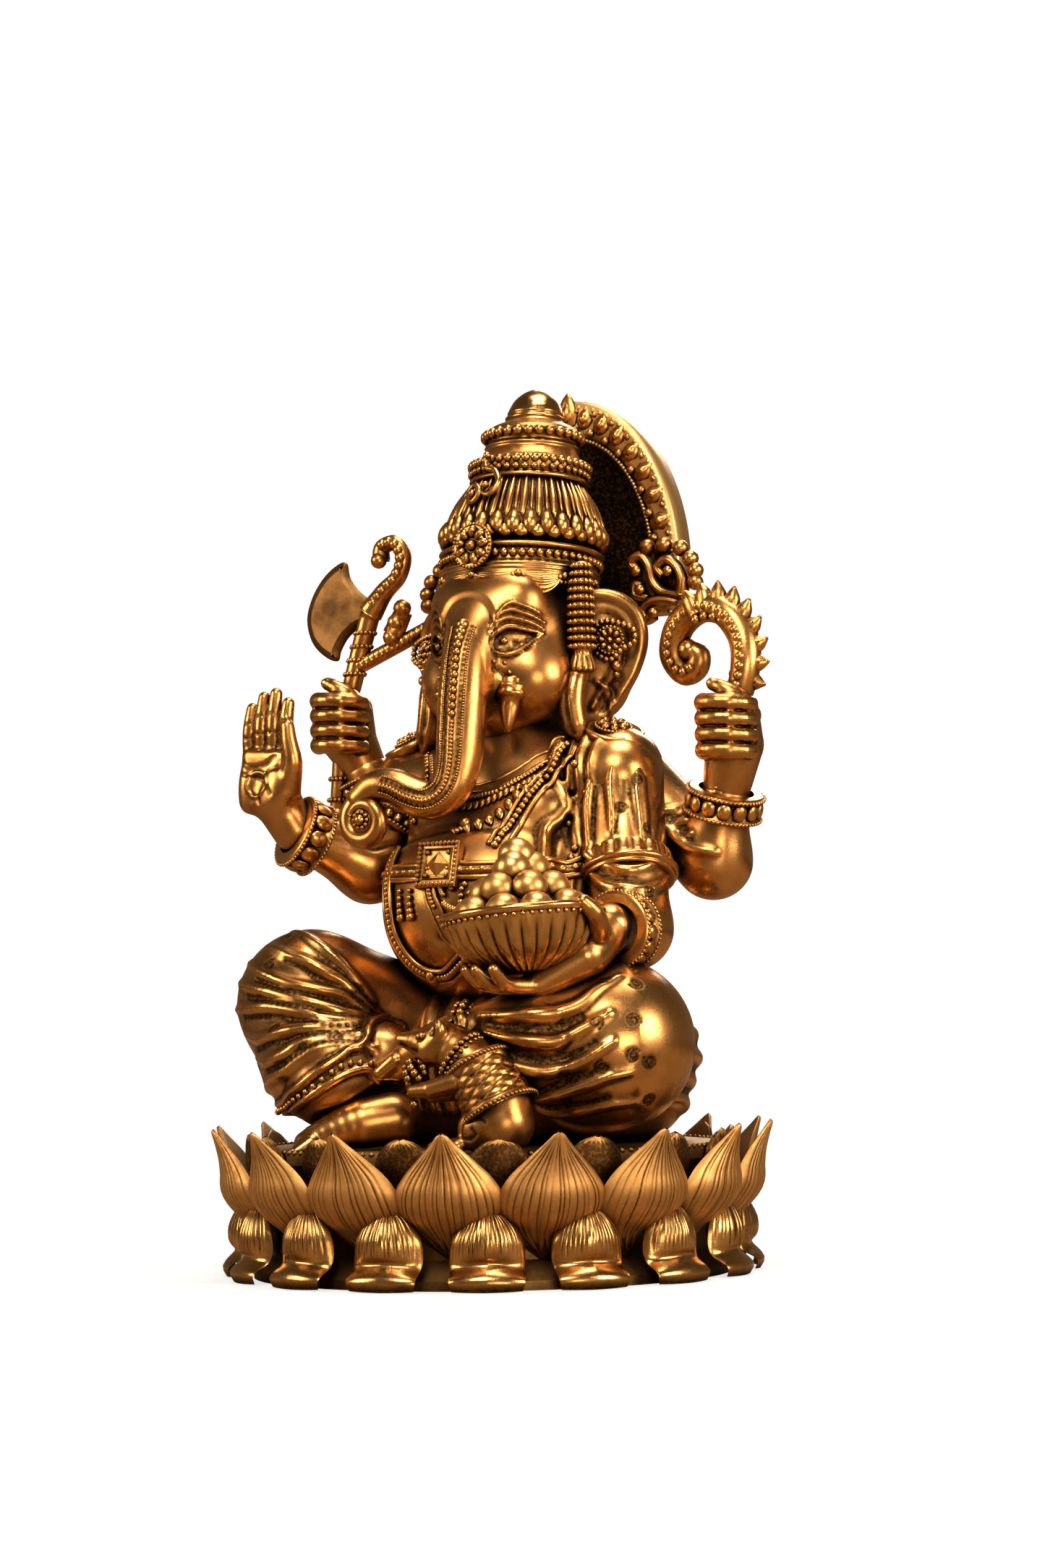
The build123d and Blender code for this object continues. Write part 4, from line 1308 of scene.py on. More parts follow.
    def left_leg(self) -> Clay:
        """Carves the folded left leg with its folds drawn in towards the ankle."""
        block = Clay((-6, -62, 42), (88, 40, 106), 0.65)
        block.rope([(28, 10, 72), (57, -20, 75)], [27, 26], 0)
        block.rope([(57, -20, 75), (42, -38, 76)], [25.5, 18], 8)
        block.rope([(42, -38, 76), (20, -46, 79.5)], [17.5, 8.5], 6)
        folds = (
            [
                (68.4, -31.6, 95.1), (64.8, -37.9, 91.8), (60.3, -43.9, 86.7), (52.2, -49.8, 84),
                (42, -52.6, 83), (30, -52, 84),
            ],
            [(69, -40, 84), (62, -45.4, 79.5), (54.9, -49.6, 76.4), (46.1, -53.7, 76.7), (34, -53.9, 79)],
            [
                (71.1, -41.5, 76.0), (66.1, -44.2, 72.7), (61, -45.7, 70), (52.8, -48.4, 68.5),
                (42.9, -50.6, 70.9), (32, -51, 74),
            ],
            [
                (74.7, -36.9, 66.9), (68.1, -41.2, 65.4), (60.4, -42.8, 63.2), (51, -43.9, 62.3),
                (40.6, -44.2, 65.6), (30, -46, 71),
            ],
            [
                (72.3, -31.0, 58.9), (65.6, -36.1, 57.9), (55.8, -37.4, 56.1), (44.5, -34.3, 57),
                (32.8, -34, 63),
            ],
            [(70.2, -22.7, 53.0), (60.4, -26.4, 51.8), (48.4, -25, 51.4), (34, -22, 54)],
        )
        for index, line in enumerate(folds):
            block.fold(line, [0.4, 1.6, 2.3, 2.3, 1.4], 0.35, 2.2, 28)
            if 0 < index < 5:
                block.groove(
                    [(x, y, z + 3.4) for x, y, z in line[1:]], [0.4, 1.3, 1.6, 0.8], 0.6, 2.4, 24,
                )
        marks = [
            (67.6, -42.5, 68.2), (78.5, -33.2, 69.9), (72.7, -30.1, 92.8), (65.4, -35.3, 93.6),
            (65.7, -43.2, 81.7), (75.3, -36.7, 82.1), (75.6, -37.6, 71.7), (55.9, -47.1, 67.5),
            (53.7, -41.4, 59.8), (42.4, -52.1, 72.5), (54.6, -35.5, 54.5), (75.1, -28.7, 58.8),
            (60, -16, 101),
        ]
        for index, place in enumerate(marks):
            block.curl_mark(place, 2.6, 50.0 * index + 20)
        block.flat(2, DECK_LEVEL, keep_above=True)
        return block

    def foot(self, path: Line, radii: Sequence[float], toes: Point, spread_way: Point) -> Clay:
        """Carves a foot with five toes.

        Args:
            path: Centres from heel to ball.
            radii: Thickness along it.
            toes: Direction that the toes point.
            spread_way: Direction across the toes, from little to big.
        """
        run = np.array(path, float)
        block = Clay(tuple(run.min(0) - 16), tuple(run.max(0) + 16), 0.55)
        block.rope(flowing(path, 10), radii, 0)
        ahead, across = np.array(toes, float), np.array(spread_way, float)
        for index in range(5):
            offset = (index - 2) / 2
            base = run[-1] + across * offset * 4.6 - ahead * 1.0
            tip = base + ahead * (3.6 + 0.7 * index)
            block.rope([tuple(base), tuple(tip)], [1.9 + 0.18 * index, 1.5 + 0.22 * index], 0.8)
        return block

    def build(self) -> dict[str, tuple[np.ndarray, np.ndarray]]:
        """Makes the body's pieces.

        Returns:
            The points and directions of the torso and the right leg, for dressing.
        """
        kept = {}
        skin, cloth = self.finishes.skin, self.finishes.cloth
        for name, node, block, finish in (
            ("torso_casting", "torso", self.torso(), skin), ("lap_cloth", "hips", self.lap(), cloth),
            ("right_leg_cloth", "right_leg", self.right_leg(), cloth),
            ("left_leg_cloth", "left_leg", self.left_leg(), cloth),
        ):
            cast = Casting(name)
            kept[node] = (*cast.clay(block), block)
            cast.make([node], finish, Slot.BODY)
        low = float(corner("right_foot", False)[2])
        right = self.foot(
            [(-12, -41, 52), (-21, -49.5, 50), (-29.5, -56.5, low + 4.5), (-33, -59.5, low + 2.5)],
            [8.6, 8.2, 6.2, 4.2], (-0.5, -0.6, -0.5), (0.6, -0.55, 0.0),
        )
        right.flat(2, DECK_LEVEL, keep_above=True)
        left = self.foot(
            [(16, -48, 78), (6, -51, 74), (-2, -52.5, 69)], [7.4, 6.4, 4.6], (-0.75, -0.2, -0.62),
            (0.2, -0.9, 0.3),
        )
        for name, node, block in (
            ("right_foot_casting", "right_foot", right), ("left_foot_casting", "left_foot", left),
        ):
            cast = Casting(name)
            cast.clay(block)
            cast.make([node], skin, Slot.BODY)
        self.hems(kept["right_leg"][2])
        return kept

    def hems(self, leg: Clay) -> None:
        """Strings the beaded hem band of the right leg and the beaded anklet of the left."""
        cast = Casting("hem_beads")
        run = leg.settle(flowing([(x, y, z - 2.3) for x, y, z in self.hem_line()], 24), 0.5)
        cast.beads(run, 1.05)
        turn = full_turn(16)
        pose = seat((19.0, -46.5, 79.5), (-22.0, -8, 3), (0, 0, 1.0))
        for radius, size, shift in ((9.2, 1.5, 0.0), (8.8, 0.9, 2.4), (8.8, 0.9, -2.4)):
            ring = circle(radius, turn, shift)
            cast.beads(carried(ring, pose), size)
        cast.make(["hem_rings"], self.finishes.trim)


# ---- arms and hands ------------------------------------------------------------------------
@dataclass
class Arms:
    """Four arms with their hands, bracelets and armlets."""

    finishes: Finishes
    axe_fist: Point = (-73.0, 24.0, 187.0)
    goad_fist: Point = (81.0, 22.0, 177.0)
    palm: Point = (-68.0, -29.0, 165.0)

    def front_left(self) -> Clay:
        """Carves the arm that carries the bowl, its sleeve folding at the elbow."""
        block = Clay((26, -46, 94), (76, 38, 184), 0.62)
        block.rope([(40, 20, 165), (55, 0, 112)], [15, 12.5], 0)
        block.rope([(55, 0, 112), (61, -25, 112)], [12.5, 8], 5)
        for line in (
            [(34, 4, 175), (33.4, 1, 163), (33, 0, 150), (34.5, -3, 140), (36, -5, 128)],
            [(41.6, 5, 174), (40, 1, 163), (39.4, 0, 152), (40.6, -3, 142), (42, -6, 132)],
            [(48, 6, 172), (47.6, 2, 162), (49, 0, 152), (50, -3, 144)],
            [(54, 10, 168), (56, 6, 158), (59, 3, 148), (61, 0, 138)],
        ):
            block.fold(line, [0.8, 2.1, 2.2, 1.8, 0.6], 0.4, 2.0)
            block.groove([(x + 2.6, y - 1, z) for x, y, z in line[:4]], [0.4, 1.2, 1.2, 0.4], 0.3, 1.5)
        for level, (lean, thick) in enumerate(((4, 1.4), (0, 1.3))):
            z = 135 - 7.5 * level
            x = 49 + 2.6 * level
            block.fold(
                [
                    (x - 14, 2 + lean - 4 * level, z + 5), (x - 4, -8 - level, z),
                    (x + 10, -4 - level, z - 4), (x + 15, 12 - level, z + 2),
                ],
                [0.4, thick, thick, 0.5], 0.2, 2,
            )
        for place in (
            (52.5, 0, 152), (57.5, 4, 164), (62, 4, 145), (64, -4, 124), (56.5, -9, 120), (67, -12, 112),
            (60, -16, 121),
        ):
            block.curl_mark(place, 2.3, place[2] * 9)
        return block

    def front_right(self) -> Clay:
        """Carves the raised blessing arm."""
        block = Clay((-76, -36, 118), (-24, 38, 184), 0.62)
        block.rope([(-40, 20, 165), (-47, 0, 136)], [14, 11.8], 0)
        block.rope([(-47, 0, 136), (-61, -24, 148)], [11.8, 7.6], 5)
        block.groove(
            [(-38, 0, 148), (-42, -10, 146), (-48, -12, 150), (-54, -8, 153)], [0.3, 0.9, 0.9, 0.3], 0.1,
            2,
        )
        block.groove([(-36, 2, 143), (-40, -9, 141), (-46, -14, 145)], [0.2, 0.7, 0.2], 0.1, 2)
        return block

    def rear(self, side: int) -> Clay:
        """Carves one of the two rear arms.

        Args:
            side: 1 for the left, -1 for the right.
        """
        elbow, wrist = (
            (69.5, 30, 134.5), (76.5, 26, 155),
        ) if side > 0 else ((-58, 34, 144), (-67, 29, 170))
        shoulder = (38.0 * side, 31.0, 164.0)
        low = np.minimum(np.minimum(shoulder, elbow), wrist) - 20
        high = np.maximum(np.maximum(shoulder, elbow), wrist) + 20
        block = Clay(tuple(low), tuple(high), 0.65)
        block.rope([shoulder, elbow], [12.4, 11.4], 0)
        block.rope([elbow, wrist], [12, 8], 6)
        for step in (0.35, 0.5, 0.65, 0.8):
            centre = np.array(shoulder) * (1 - step) + np.array(elbow) * step
            block.fold(
                [
                    tuple(centre + (-8, -10, 5)), tuple(centre + (2, -13, -1)),
                    tuple(centre + (10 * side, -6, -4)),
                ],
                [0.4, 1.4, 0.5], 0.2, 2,
            )
            block.curl_mark(tuple(centre + (2 * side, -13, 4)), 2.2, 200 * step)
        return block

    def fist(self, centre: Point, wrist: Point) -> Clay:
        """Carves a hand closed round a shaft.

        Args:
            centre: The middle of its fingers.
            wrist: Where the arm ends.
        """
        x, y, z = centre
        block = Clay((x - 18, y - 20, min(wrist[2], z - 14) - 6), (x + 18, y + 20, z + 22), 0.5)
        block.rope([wrist, (x, y + 3, z - 5), (x, y + 3, z + 5)], [7.5, 9.6, 8.4], 0)
        for row in range(4):
            level = z + 8 - 5.2 * row
            run = flowing(
                [
                    (x - 9, y - 1, level + 0.6), (x - 5, y - 8.6, level + 0.3), (x + 1, y - 10.2, level),
                    (x + 7.4, y - 6, level - 0.4), (x + 8.6, y - 1.5, level - 0.4),
                ],
                14,
            )
            block.rope(run, [2.6, 3.0, 2.9, 2.5], 0.5)
            if row:
                gap = run + np.array([0, -1.6, 2.6])
                block.rope(gap, [0.4, 0.55, 0.55, 0.4], 0.6, carve=True)
                block.marks.append((gap, 0.55))
            for knuckle in (4, 9):
                spot = run[knuckle]
                block.ovoid(tuple(spot), (2.7, 3.3, 2.9), 1.0)
        thumb = flowing(
            [
                (x + 7, y + 1, z + 4), (x + 5.6, y - 5, z + 9.6), (x + 1.4, y - 7, z + 12.8),
                (x - 2.5, y - 6.4, z + 14.4),
            ],
            12,
        )
        block.rope(thumb, [3.7, 3.4, 2.9, 2.3], 1.0)
        block.ovoid((x - 2.2, y - 8.5, z + 14.6), (1.9, 0.9, 1.6), 0.4)
        return block

    def blessing(self) -> Clay:
        """Carves the open right palm with its creases."""
        x, y, z = self.palm
        block = Clay((x - 18, y - 12, 142), (x + 22, y + 14, 202), 0.46)
        block.rope([(-61, -24, 148), (-65.5, -27, 157)], [7.6, 8.0], 0)
        block.slab((x, y, z), (10.2, 4.6, 11.6), 4.2, 3.5, Matrix.Rotation(math.radians(4), 4, "Y"))
        for index, length in enumerate((17.5, 21.0, 22.0, 18.5)):
            base_x = -75.2 + 4.9 * index
            base = np.array([base_x, y, 174.0])
            tip = np.array([base_x + 1.4, y - 0.6, 174.0 + length - 2.1])
            run = base + (tip - base) * np.linspace(0, 1, 8)[:, None]
            run[:, 1] -= 1.0 * np.sin(np.linspace(0, math.pi, 8))
            block.rope(run, [2.75, 2.6, 2.1], 0.7)
            for part in (0.04, 0.36, 0.68):
                spot = base + (tip - base) * part
                cut = np.array([spot + (-2.2, -2.9, 0), spot + (0, -3.3, -0.3), spot + (2.2, -2.9, 0)])
                block.rope(cut, 0.35, 0.3, carve=True)
                block.marks.append((cut, 0.55))
            if index:
                gap = np.array([base + (-2.45, -3.2, -1.5), tip + (-2.45, -1.8, -2.5)])
                block.marks.append((gap[0] + (gap[1] - gap[0]) * np.linspace(0, 1, 10)[:, None], 0.7))
        block.rope(
            flowing(
                [(-59.5, y - 1, 161), (-56, y - 3, 170), (-56.6, y - 4, 177), (-57.2, y - 4, 182.4)], 10,
            ),
            [4.4, 3.5, 2.9, 2.3], 2.0,
        )
        block.ovoid((-62.5, y - 3.4, 161.5), (4.2, 3.0, 7.2), 2.5)
        block.ovoid((-74.5, y - 3.0, 162), (3.0, 2.4, 7.5), 2.5)
        for line in (
            [(-77, y - 6, 171.5), (-72, y - 6, 169.6), (-67, y - 6, 169.8), (-62, y - 6, 173)],
            [(-77, y - 6, 167.5), (-71, y - 6, 166.2), (-66, y - 6, 164.4), (-63, y - 6, 160)],
            [(-60.5, y - 7, 169.5), (-65.5, y - 7, 168), (-68, y - 7, 163), (-68, y - 7, 157)],
        ):
            block.groove(line, 2 * [0.55], 0.1, 0.6)
        spot = block.settle([(-69.2, y - 6, 163.5)])
        turn = np.linspace(0, 2 * math.pi, 20)
        ring = np.stack(
            [spot[0, 0] + 4.3 * np.cos(turn), np.full(20, spot[0, 1]), spot[0, 2] + 4.3 * np.sin(turn)],
            1,
        )
        run = block.settle(ring, 0.1)
        block.rope(run, 0.55, 0.3)
        return block

    def holder(self) -> Clay:
        """Carves the left hand under the bowl with its thumb over the rim."""
        block = Clay((22, -72, 84), (74, -12, 126), 0.5)
        block.rope([(61, -25, 112), (59, -37, 103), (47, -45, 94.5)], [7.8, 7.4, 5.8], 0)
        for index in range(4):
            angle = math.radians(200 + 22 * index)
            c, s = math.cos(angle), math.sin(angle)
            run = flowing(
                [
                    (47 + 2 * c, -45 + 2 * s, 93.5), (44 + 12 * c, -46 + 11 * s, 94.0),
                    (44 + 17.0 * c, -46 + 15.6 * s, 95.6), (44 + 21.0 * c, -46 + 19.2 * s, 99.0),
                ],
                12,
            )
            block.rope(run, [3.0, 2.8, 2.4, 1.8], 0.8)
        block.rope(
            flowing([(60, -33, 108), (66.5, -41, 112), (68.6, -47, 116), (66.5, -50.5, 119.6)], 10),
            [4.4, 3.8, 3.1, 2.4], 1.5,
        )
        return block

    def bangle(
        self, cast: Casting, centre: Point, way: Point, radii: tuple[float, float], width: float,
        knobs: int, tall: float,
    ) -> None:
        """Adds a bracelet: a band with a rim at each edge and a row of oval beads between.

        Args:
            cast: The piece it goes into.
            centre: Its middle.
            way: The direction of its axis.
            radii: Its inner and outer radius.
            width: How wide it is.
            knobs: How many beads run round it.
            tall: How long each bead is along the axis, over its width.
        """
        inner, outer = radii
        half = width / 2
        pose = seat(centre, way, (0.3, 0.2, 1.0))
        profile = [
            (inner, -half), (outer - 1.6, -half), (outer - 0.7, -half + 0.4), (outer - 0.4, -half + 1.0),
            (outer - 0.7, -half + 1.6), (outer - 1.7, -half + 2.0), (outer - 2.0, 0.0),
            (outer - 1.7, half - 2.0), (outer - 0.7, half - 1.6), (outer - 0.4, half - 1.0),
            (outer - 0.7, half - 0.4), (outer - 1.6, half), (inner, half),
        ]
        cast.lathe(profile, pose, sides=56)
        turn = full_turn(knobs)
        radius = outer - 1.5
        ring = circle(radius, turn)
        places = carried(ring, pose)
        out = circle(1.0, turn) @ pose[:, :3].T
        poses = stance(places, out, np.tile(pose[:, 2], (knobs, 1)))
        size = math.pi * radius / knobs * 0.96
        cast.stamp(BEAD, poses, np.array([min(size * tall, half - 1.5), size, 1.4]), 0.6)
        fine = int(2 * math.pi * outer / 1.5)
        turn = full_turn(fine)
        for level in (-half + 1.0, half - 1.0):
            ring = np.stack(
                [(outer - 0.5) * np.cos(turn), (outer - 0.5) * np.sin(turn), np.full(fine, level)], 1,
            )
            cast.beads(carried(ring, pose), 0.62)

    def build(self) -> None:
        """Makes every arm piece."""
        skin, cloth, trim = self.finishes.skin, self.finishes.cloth, self.finishes.trim
        for name, node, block, finish in (
            ("bowl_arm", "front_left_arm", self.front_left(), cloth),
            ("blessing_arm", "front_right_arm", self.front_right(), skin),
            ("goad_arm", "rear_left_arm", self.rear(1), cloth),
            ("axe_arm", "rear_right_arm", self.rear(-1), skin),
            ("axe_fist", "axe_hand", self.fist(self.axe_fist, (-67.0, 29.0, 170.0)), skin),
            ("goad_fist", "goad_hand", self.fist(self.goad_fist, (76.5, 26.0, 155.0)), skin),
            ("blessing_palm", "blessing_hand", self.blessing(), skin),
            ("bowl_holder", "bowl_hand", self.holder(), skin),
        ):
            cast = Casting(name)
            cast.clay(block, 2)
            cast.make([node], finish, Slot.BODY)
        for name, node, centre, way, radii, width, knobs, tall in (
            (
                "blessing_bangle", "blessing_bracelet", (-59.0, -20.5, 146.0), (-14, -24, 12),
                (8.3, 12.9), 10.0, 12, 1.6,
            ),
            (
                "bowl_bangle", "bowl_bracelet", (63.2, -21.0, 111.0), (-0.5, -25, 1), (8.6, 12.9), 9.0,
                14, 1.2,
            ),
            ("axe_bangle", "axe_bracelet", (-65.6, 29.8, 166.0), (-9, -5, 26), (8.0, 11.4), 7.4, 14, 1.2),
            (
                "goad_bangle", "goad_bracelet", (75.8, 26.4, 153.0), (7, -4, 20.5), (9.3, 13.4), 9.2, 14,
                1.2,
            ),
            (
                "right_armlet_band", "right_armlet", (-44.2, 8.0, 147.6), (-7, -20, -29), (12.4, 15.6),
                7.0, 24, 1.2,
            ),
        ):
            cast = Casting(name)
            self.bangle(cast, centre, way, radii, width, knobs, tall)
            cast.make([node], trim)
        self.cuff().make(["left_armlet"], cloth)

    def cuff(self) -> Casting:
        """Builds the rolled hem of the left sleeve, gathered into soft pleats."""
        cast = Casting("left_sleeve_hem")
        pose = seat((49.5, 8.0, 132.0), (15.0, -20, -53), (0.3, 0.2, 1.0))
        profile = [
            (13.0, -4.6), (14.2, -4.4), (14.9, -3.2), (15.3, -1.2), (15.6, 0.6), (16.5, 1.4), (16.8, 2.4),
            (16.3, 3.3), (15.4, 3.6), (15.5, 4.2), (15.2, 4.8), (13.0, 4.9),
        ]
        cast.lathe(profile, pose, 120, 17, 1.1, (0.02, 0.62), 3)
        return cast


# ---- the elephant head ---------------------------------------------------------------------
@dataclass
class Head:
    """Head, trunk, tusks and ears."""

    finishes: Finishes
    trunk_run: tuple[Point, ...] = (
        (-1.5, 9, 222), (-0.8, -2, 214.5), (0.2, -10.2, 205), (1.0, -14.4, 191.5), (1.6, -17.2, 178.5),
        (2.0, -20, 167), (0.6, -22.5, 159.4), (-4.5, -25, 155.4), (-11.1, -27, 157.0),
        (-18.1, -28, 160.4), (-24.6, -28.8, 160.8), (-30.0, -29.6, 157),
    )
    trunk_radii: tuple[float, ...] = (8.0, 8.0, 8.0, 8.2, 8.4, 8.3, 8.0, 7.0, 6.4, 6.4, 5.8, 4.8)
    tip: Point = (-27.6, -30.5, 149.6)

    def face(self) -> Clay:
        """Carves head, cheeks, eyes, brows and trunk in one block."""
        block = Clay((-42, -48, 138), (42, 54, 244), 0.6)
        block.ovoid((0, 22, 209), (27, 29, 29), 0)
        for side in (-1, 1):
            block.ovoid((13 * side, 9, 197), (15, 14.5, 15), 6)
            block.ovoid((10.5 * side, 3, 223), (10, 8, 9), 9)
        block.ovoid((0, 8, 184), (10, 11, 7), 6)
        block.ovoid((0, 5, 217), (13, 10.5, 14), 10)
        run = flowing(self.trunk_run, 60)
        block.rope(run, self.trunk_radii, 11)
        block.ovoid(self.tip, (5.5, 3.8, 5.5), 2.0)
        for side in (-1, 1):
            self.eye(block, side)
        block.groove(
            [(11.5, -10, 199), (14, -6, 195), (14.5, -4, 190), (12.5, -5, 185)], [0.4, 1.0, 0.4], 0.3, 2,
        )
        block.groove(
            [(-11.5, -10, 199), (-14, -6, 195), (-14.5, -4, 190), (-12.5, -5, 185)], [0.4, 1.0, 0.4], 0.3,
            2,
        )
        self.trunk_lines(block)
        return block

    def eye(self, block: Clay, side: int) -> None:
        """Carves one almond eye with its lids and three brow lines."""
        def there(points: Line) -> list[Point]:
            return [(x * side, y, z) for x, y, z in points]

        upper = there(
            [(8.4, -9.5, 206.8), (10, -8, 211), (13.4, -6, 213.2), (17, -2, 212.6), (21, 3.5, 210.6)]
        )
        lower = there(
            [
                (8.4, -9.5, 206.8), (10.8, -9, 204.4), (14.5, -7.5, 203.8), (18, -2.5, 206.2),
                (21, 3.5, 210.6),
            ]
        )
        upper_run, lower_run = block.settle(
            flowing(upper, 24), 0.0,
        ), block.settle(flowing(lower, 24), 0.0)
        for part in np.linspace(0.18, 0.82, 9):
            spot = (upper_run * (1 - part) + lower_run * part)[3:-4]
            block.rope(block.settle(spot, 0.35), [0.5, 1.1, 1.2, 1.1, 0.5], 0.6, carve=True)
            block.marks.append((spot, 1.0))
        for line, thick, lift in ((upper_run, 1.0, 0.55), (lower_run, 0.85, 0.4)):
            block.rope(line + block.slope(line) * lift, [0.4, thick, thick, thick, 0.5], 0.5)
        for line, thick in (
            (
                [
                    (8.0, -9.5, 209.5), (9.8, -7.4, 214.2), (13.6, -5.2, 216.2), (17.4, -1.2, 215.2),
                    (21.6, 3.5, 212.4),
                ],
                0.62,
            ),
            (
                [
                    (8.4, -9, 213.0), (10.6, -6.4, 217.0), (14, -4.5, 218.8), (17.8, -0.8, 217.4),
                    (21.8, 4, 214.4),
                ],
                0.55,
            ),
            (
                [
                    (9.8, -8, 216.4), (12, -5.4, 219.8), (14.6, -4, 221.2), (18, -0.6, 219.6),
                    (21, 3, 217.2),
                ],
                0.45,
            ),
        ):
            block.fold(there(line), [0.35, thick, thick, 0.35], 0.35, 0.5)
            block.groove(there([(x, y, z - 1.35) for x, y, z in line]), [0.2, 0.35, 0.35, 0.2], 0.1, 0.4)

    def trunk_lines(self, block: Clay) -> None:
        """Cuts the channels and raises the edge lines of the trunk's ornament band."""
        for offset in (-2.5, 2.5):
            run = self.trunk_edge(block, offset)
            block.rope(run, [0.3, 0.6, 0.65, 0.6, 0.3], 0.5, carve=True)
            block.marks.append((run, 0.75))
        block.rope(self.trunk_edge(block, -4.6), [0.3, 0.55, 0.6, 0.5, 0.3], 0.7)

    def trunk_edge(self, block: Clay, offset: float) -> np.ndarray:
        """A line down the trunk's front, set off to one side.

        Args:
            block: The carved head.
            offset: How far to the figure's left of the band's middle, round the trunk.

        Returns:
            Points on the surface.
        """
        run = flowing(self.trunk_run, 60)[9:54]
        ahead = unit(np.gradient(run, axis=0))
        front = np.array([[0.12, -1.0, 0.0]]) * np.ones((len(run), 1))
        side = unit(np.cross(ahead, front))
        return block.settle(run + unit(front) * 8.0 - side * (offset + 0.4), 0.1)

    def dress(self, block: Clay, cast: Casting) -> None:
        """Strings the trunk's beads, the pupils, the dots under the eyes and the trunk tip's flower."""
        run = self.trunk_edge(block, 0.0)
        beads = flowing([tuple(p) for p in run], 62)
        top = beads[:26] + block.slope(beads[:26]) * 0.25
        cast.beads(top[::2], spread([2.2, 1.5, 1.5, 1.3], 13))
        low = beads[26:] + block.slope(beads[26:]) * 0.1
        cast.beads(low, 0.95)
        for offset in (-3.6, 3.6):
            edge = flowing([tuple(p) for p in self.trunk_edge(block, offset)], 90)
            cast.beads(edge + block.slope(edge) * 0.05, 0.5)
        for side in (-1, 1):
            pupil = block.settle([(13.9 * side, -8, 208.2)], 0.5)
            cast.beads(pupil, 1.3)
            dots = block.settle(
                [(9.8 * side, -9.6, 201.4), (13.4 * side, -8, 201.0), (14.4 * side, -7.4, 197.6)], 0.15,
            )
            cast.beads(dots, 0.85)
        tx, ty, tz = self.tip
        front = ty - 3.6
        turn = full_turn(10)
        ring = np.stack([tx + 2.6 * np.cos(turn), np.full(10, front), tz + 2.6 * np.sin(turn)], 1)
        cast.beads(ring, 0.8)
        cast.beads(np.array([[tx, front - 0.4, tz]]), 1.9)
        spin = np.linspace(math.radians(120), math.radians(120 + 400), 70)
        reach = np.linspace(7.4, 4.9, 70)
        spiral = np.stack(
            [tx + reach * np.cos(spin), np.linspace(ty + 0.4, ty - 2.4, 70), tz + reach * np.sin(spin)],
            1,
        )
        cast.tube(spiral, [3.4, 3.2, 3.0, 2.6, 1.2], 14, up=(0, 1, 0))

    def tusk(self, side: int, length: float) -> Casting:
        """Builds one tusk with its three-ringed collar.

        Args:
            side: 1 for the left, -1 for the right.
            length: How far it comes down.
        """
        cast = Casting("left_tusk_cap" if side > 0 else "right_tusk_cap")
        root = np.array([12.6 * side, -3.5, 190.0])
        tip = np.array([12.8 * side, -6.5, 190.0 - length])
        way = unit((tip - root)[None])[0]
        start = root - way * 6
        pose = stance(start[None], way[None], np.array([[1.0, 0, 0]]))[0]
        reach = 6 + float(np.linalg.norm(tip - root))
        profile = [
            (0.5, -1), (4.6, 0), (5.1, 1.0), (4.7, 2.0), (5.3, 2.8), (5.4, 3.6), (4.9, 4.4), (5.3, 5.2),
            (5.3, 6.2), (4.4, 6.9), (3.6, 7.2),
        ]
        profile += [
            (3.6 * (1 - t**1.6) + 1.2 * t, 7.2 + (reach - 7.6) * t)
            for t in (0.3, 0.6, 0.85)
        ] + [(1.0, reach - 0.2), (0.05, reach)]
        cast.lathe(profile, pose, sides=32)
        return cast

    def ear(self, side: int) -> tuple[Clay, Casting]:
        """Carves one ear with its rim, folds and drawn-down lobe.

        Args:
            side: 1 for the left, -1 for the right.
        """
        spin = Matrix.Rotation(math.radians(28 * side), 4, "Z")
        base = np.array([23.0 * side, 22.0, 0.0])
        def place(x: float, y: float, z: float) -> Point:
            moved = np.array(spin @ Vector((x * side * 0.94, y, z - 4.0)))
            return tuple(moved + base)

        corner_low = (min(base[0], base[0] + 36 * side) - 8, 0, 166)
        corner_high = (max(base[0], base[0] + 36 * side) + 8, 54, 242)
        block = Clay(corner_low, corner_high, 0.5)
        block.ovoid(place(8, 0, 216), (14.5, 3.0, 14.5), 0, turn=spin)
        block.ovoid(place(14, 0, 214), (11.0, 2.8, 15.5), 4, turn=spin)
        block.ovoid(place(8, 0, 203), (11.5, 2.6, 16), 4, turn=spin)
        block.ovoid(place(3, 0, 194), (7.0, 2.4, 14), 4, turn=spin)
        rim = flowing(
            [
                place(0, -1.4, 228), place(11, -1.6, 229), place(20.6, -1.6, 224),
                place(23.6, -1.6, 214.5), place(20.4, -1.5, 203), place(13.4, -1.4, 193),
                place(7.6, -1.2, 186),
            ],
            40,
        )
        block.rope(rim, [1.8, 2.1, 2.2, 2.0, 1.8, 1.6], 1.2)
        for line in (
            [
                place(3, -2.6, 221), place(12, -3, 222.5), place(17, -3, 217), place(17.5, -3, 209),
                place(14, -3, 201), place(8, -3, 194),
            ],
            [place(10, -3, 200), place(13, -3, 195), place(9, -3, 190)],
        ):
            block.groove(line, [0.4, 1.1, 1.0, 0.4], 0.2, 1.6)
        block.fold(
            [
                place(1, -2.5, 217), place(9, -2.5, 218.5), place(14, -2.5, 213.5),
                place(14.5, -2.5, 206), place(10, -2.5, 198.5), place(5.5, -2.5, 191),
            ],
            [0.6, 1.3, 1.3, 0.8], 0.1, 1.2,
        )
        block.fold(
            [place(7, -3, 200), place(11.5, -3, 196), place(12, -3, 190)], [0.5, 1.2, 0.4], 0.1, 1.0,
        )
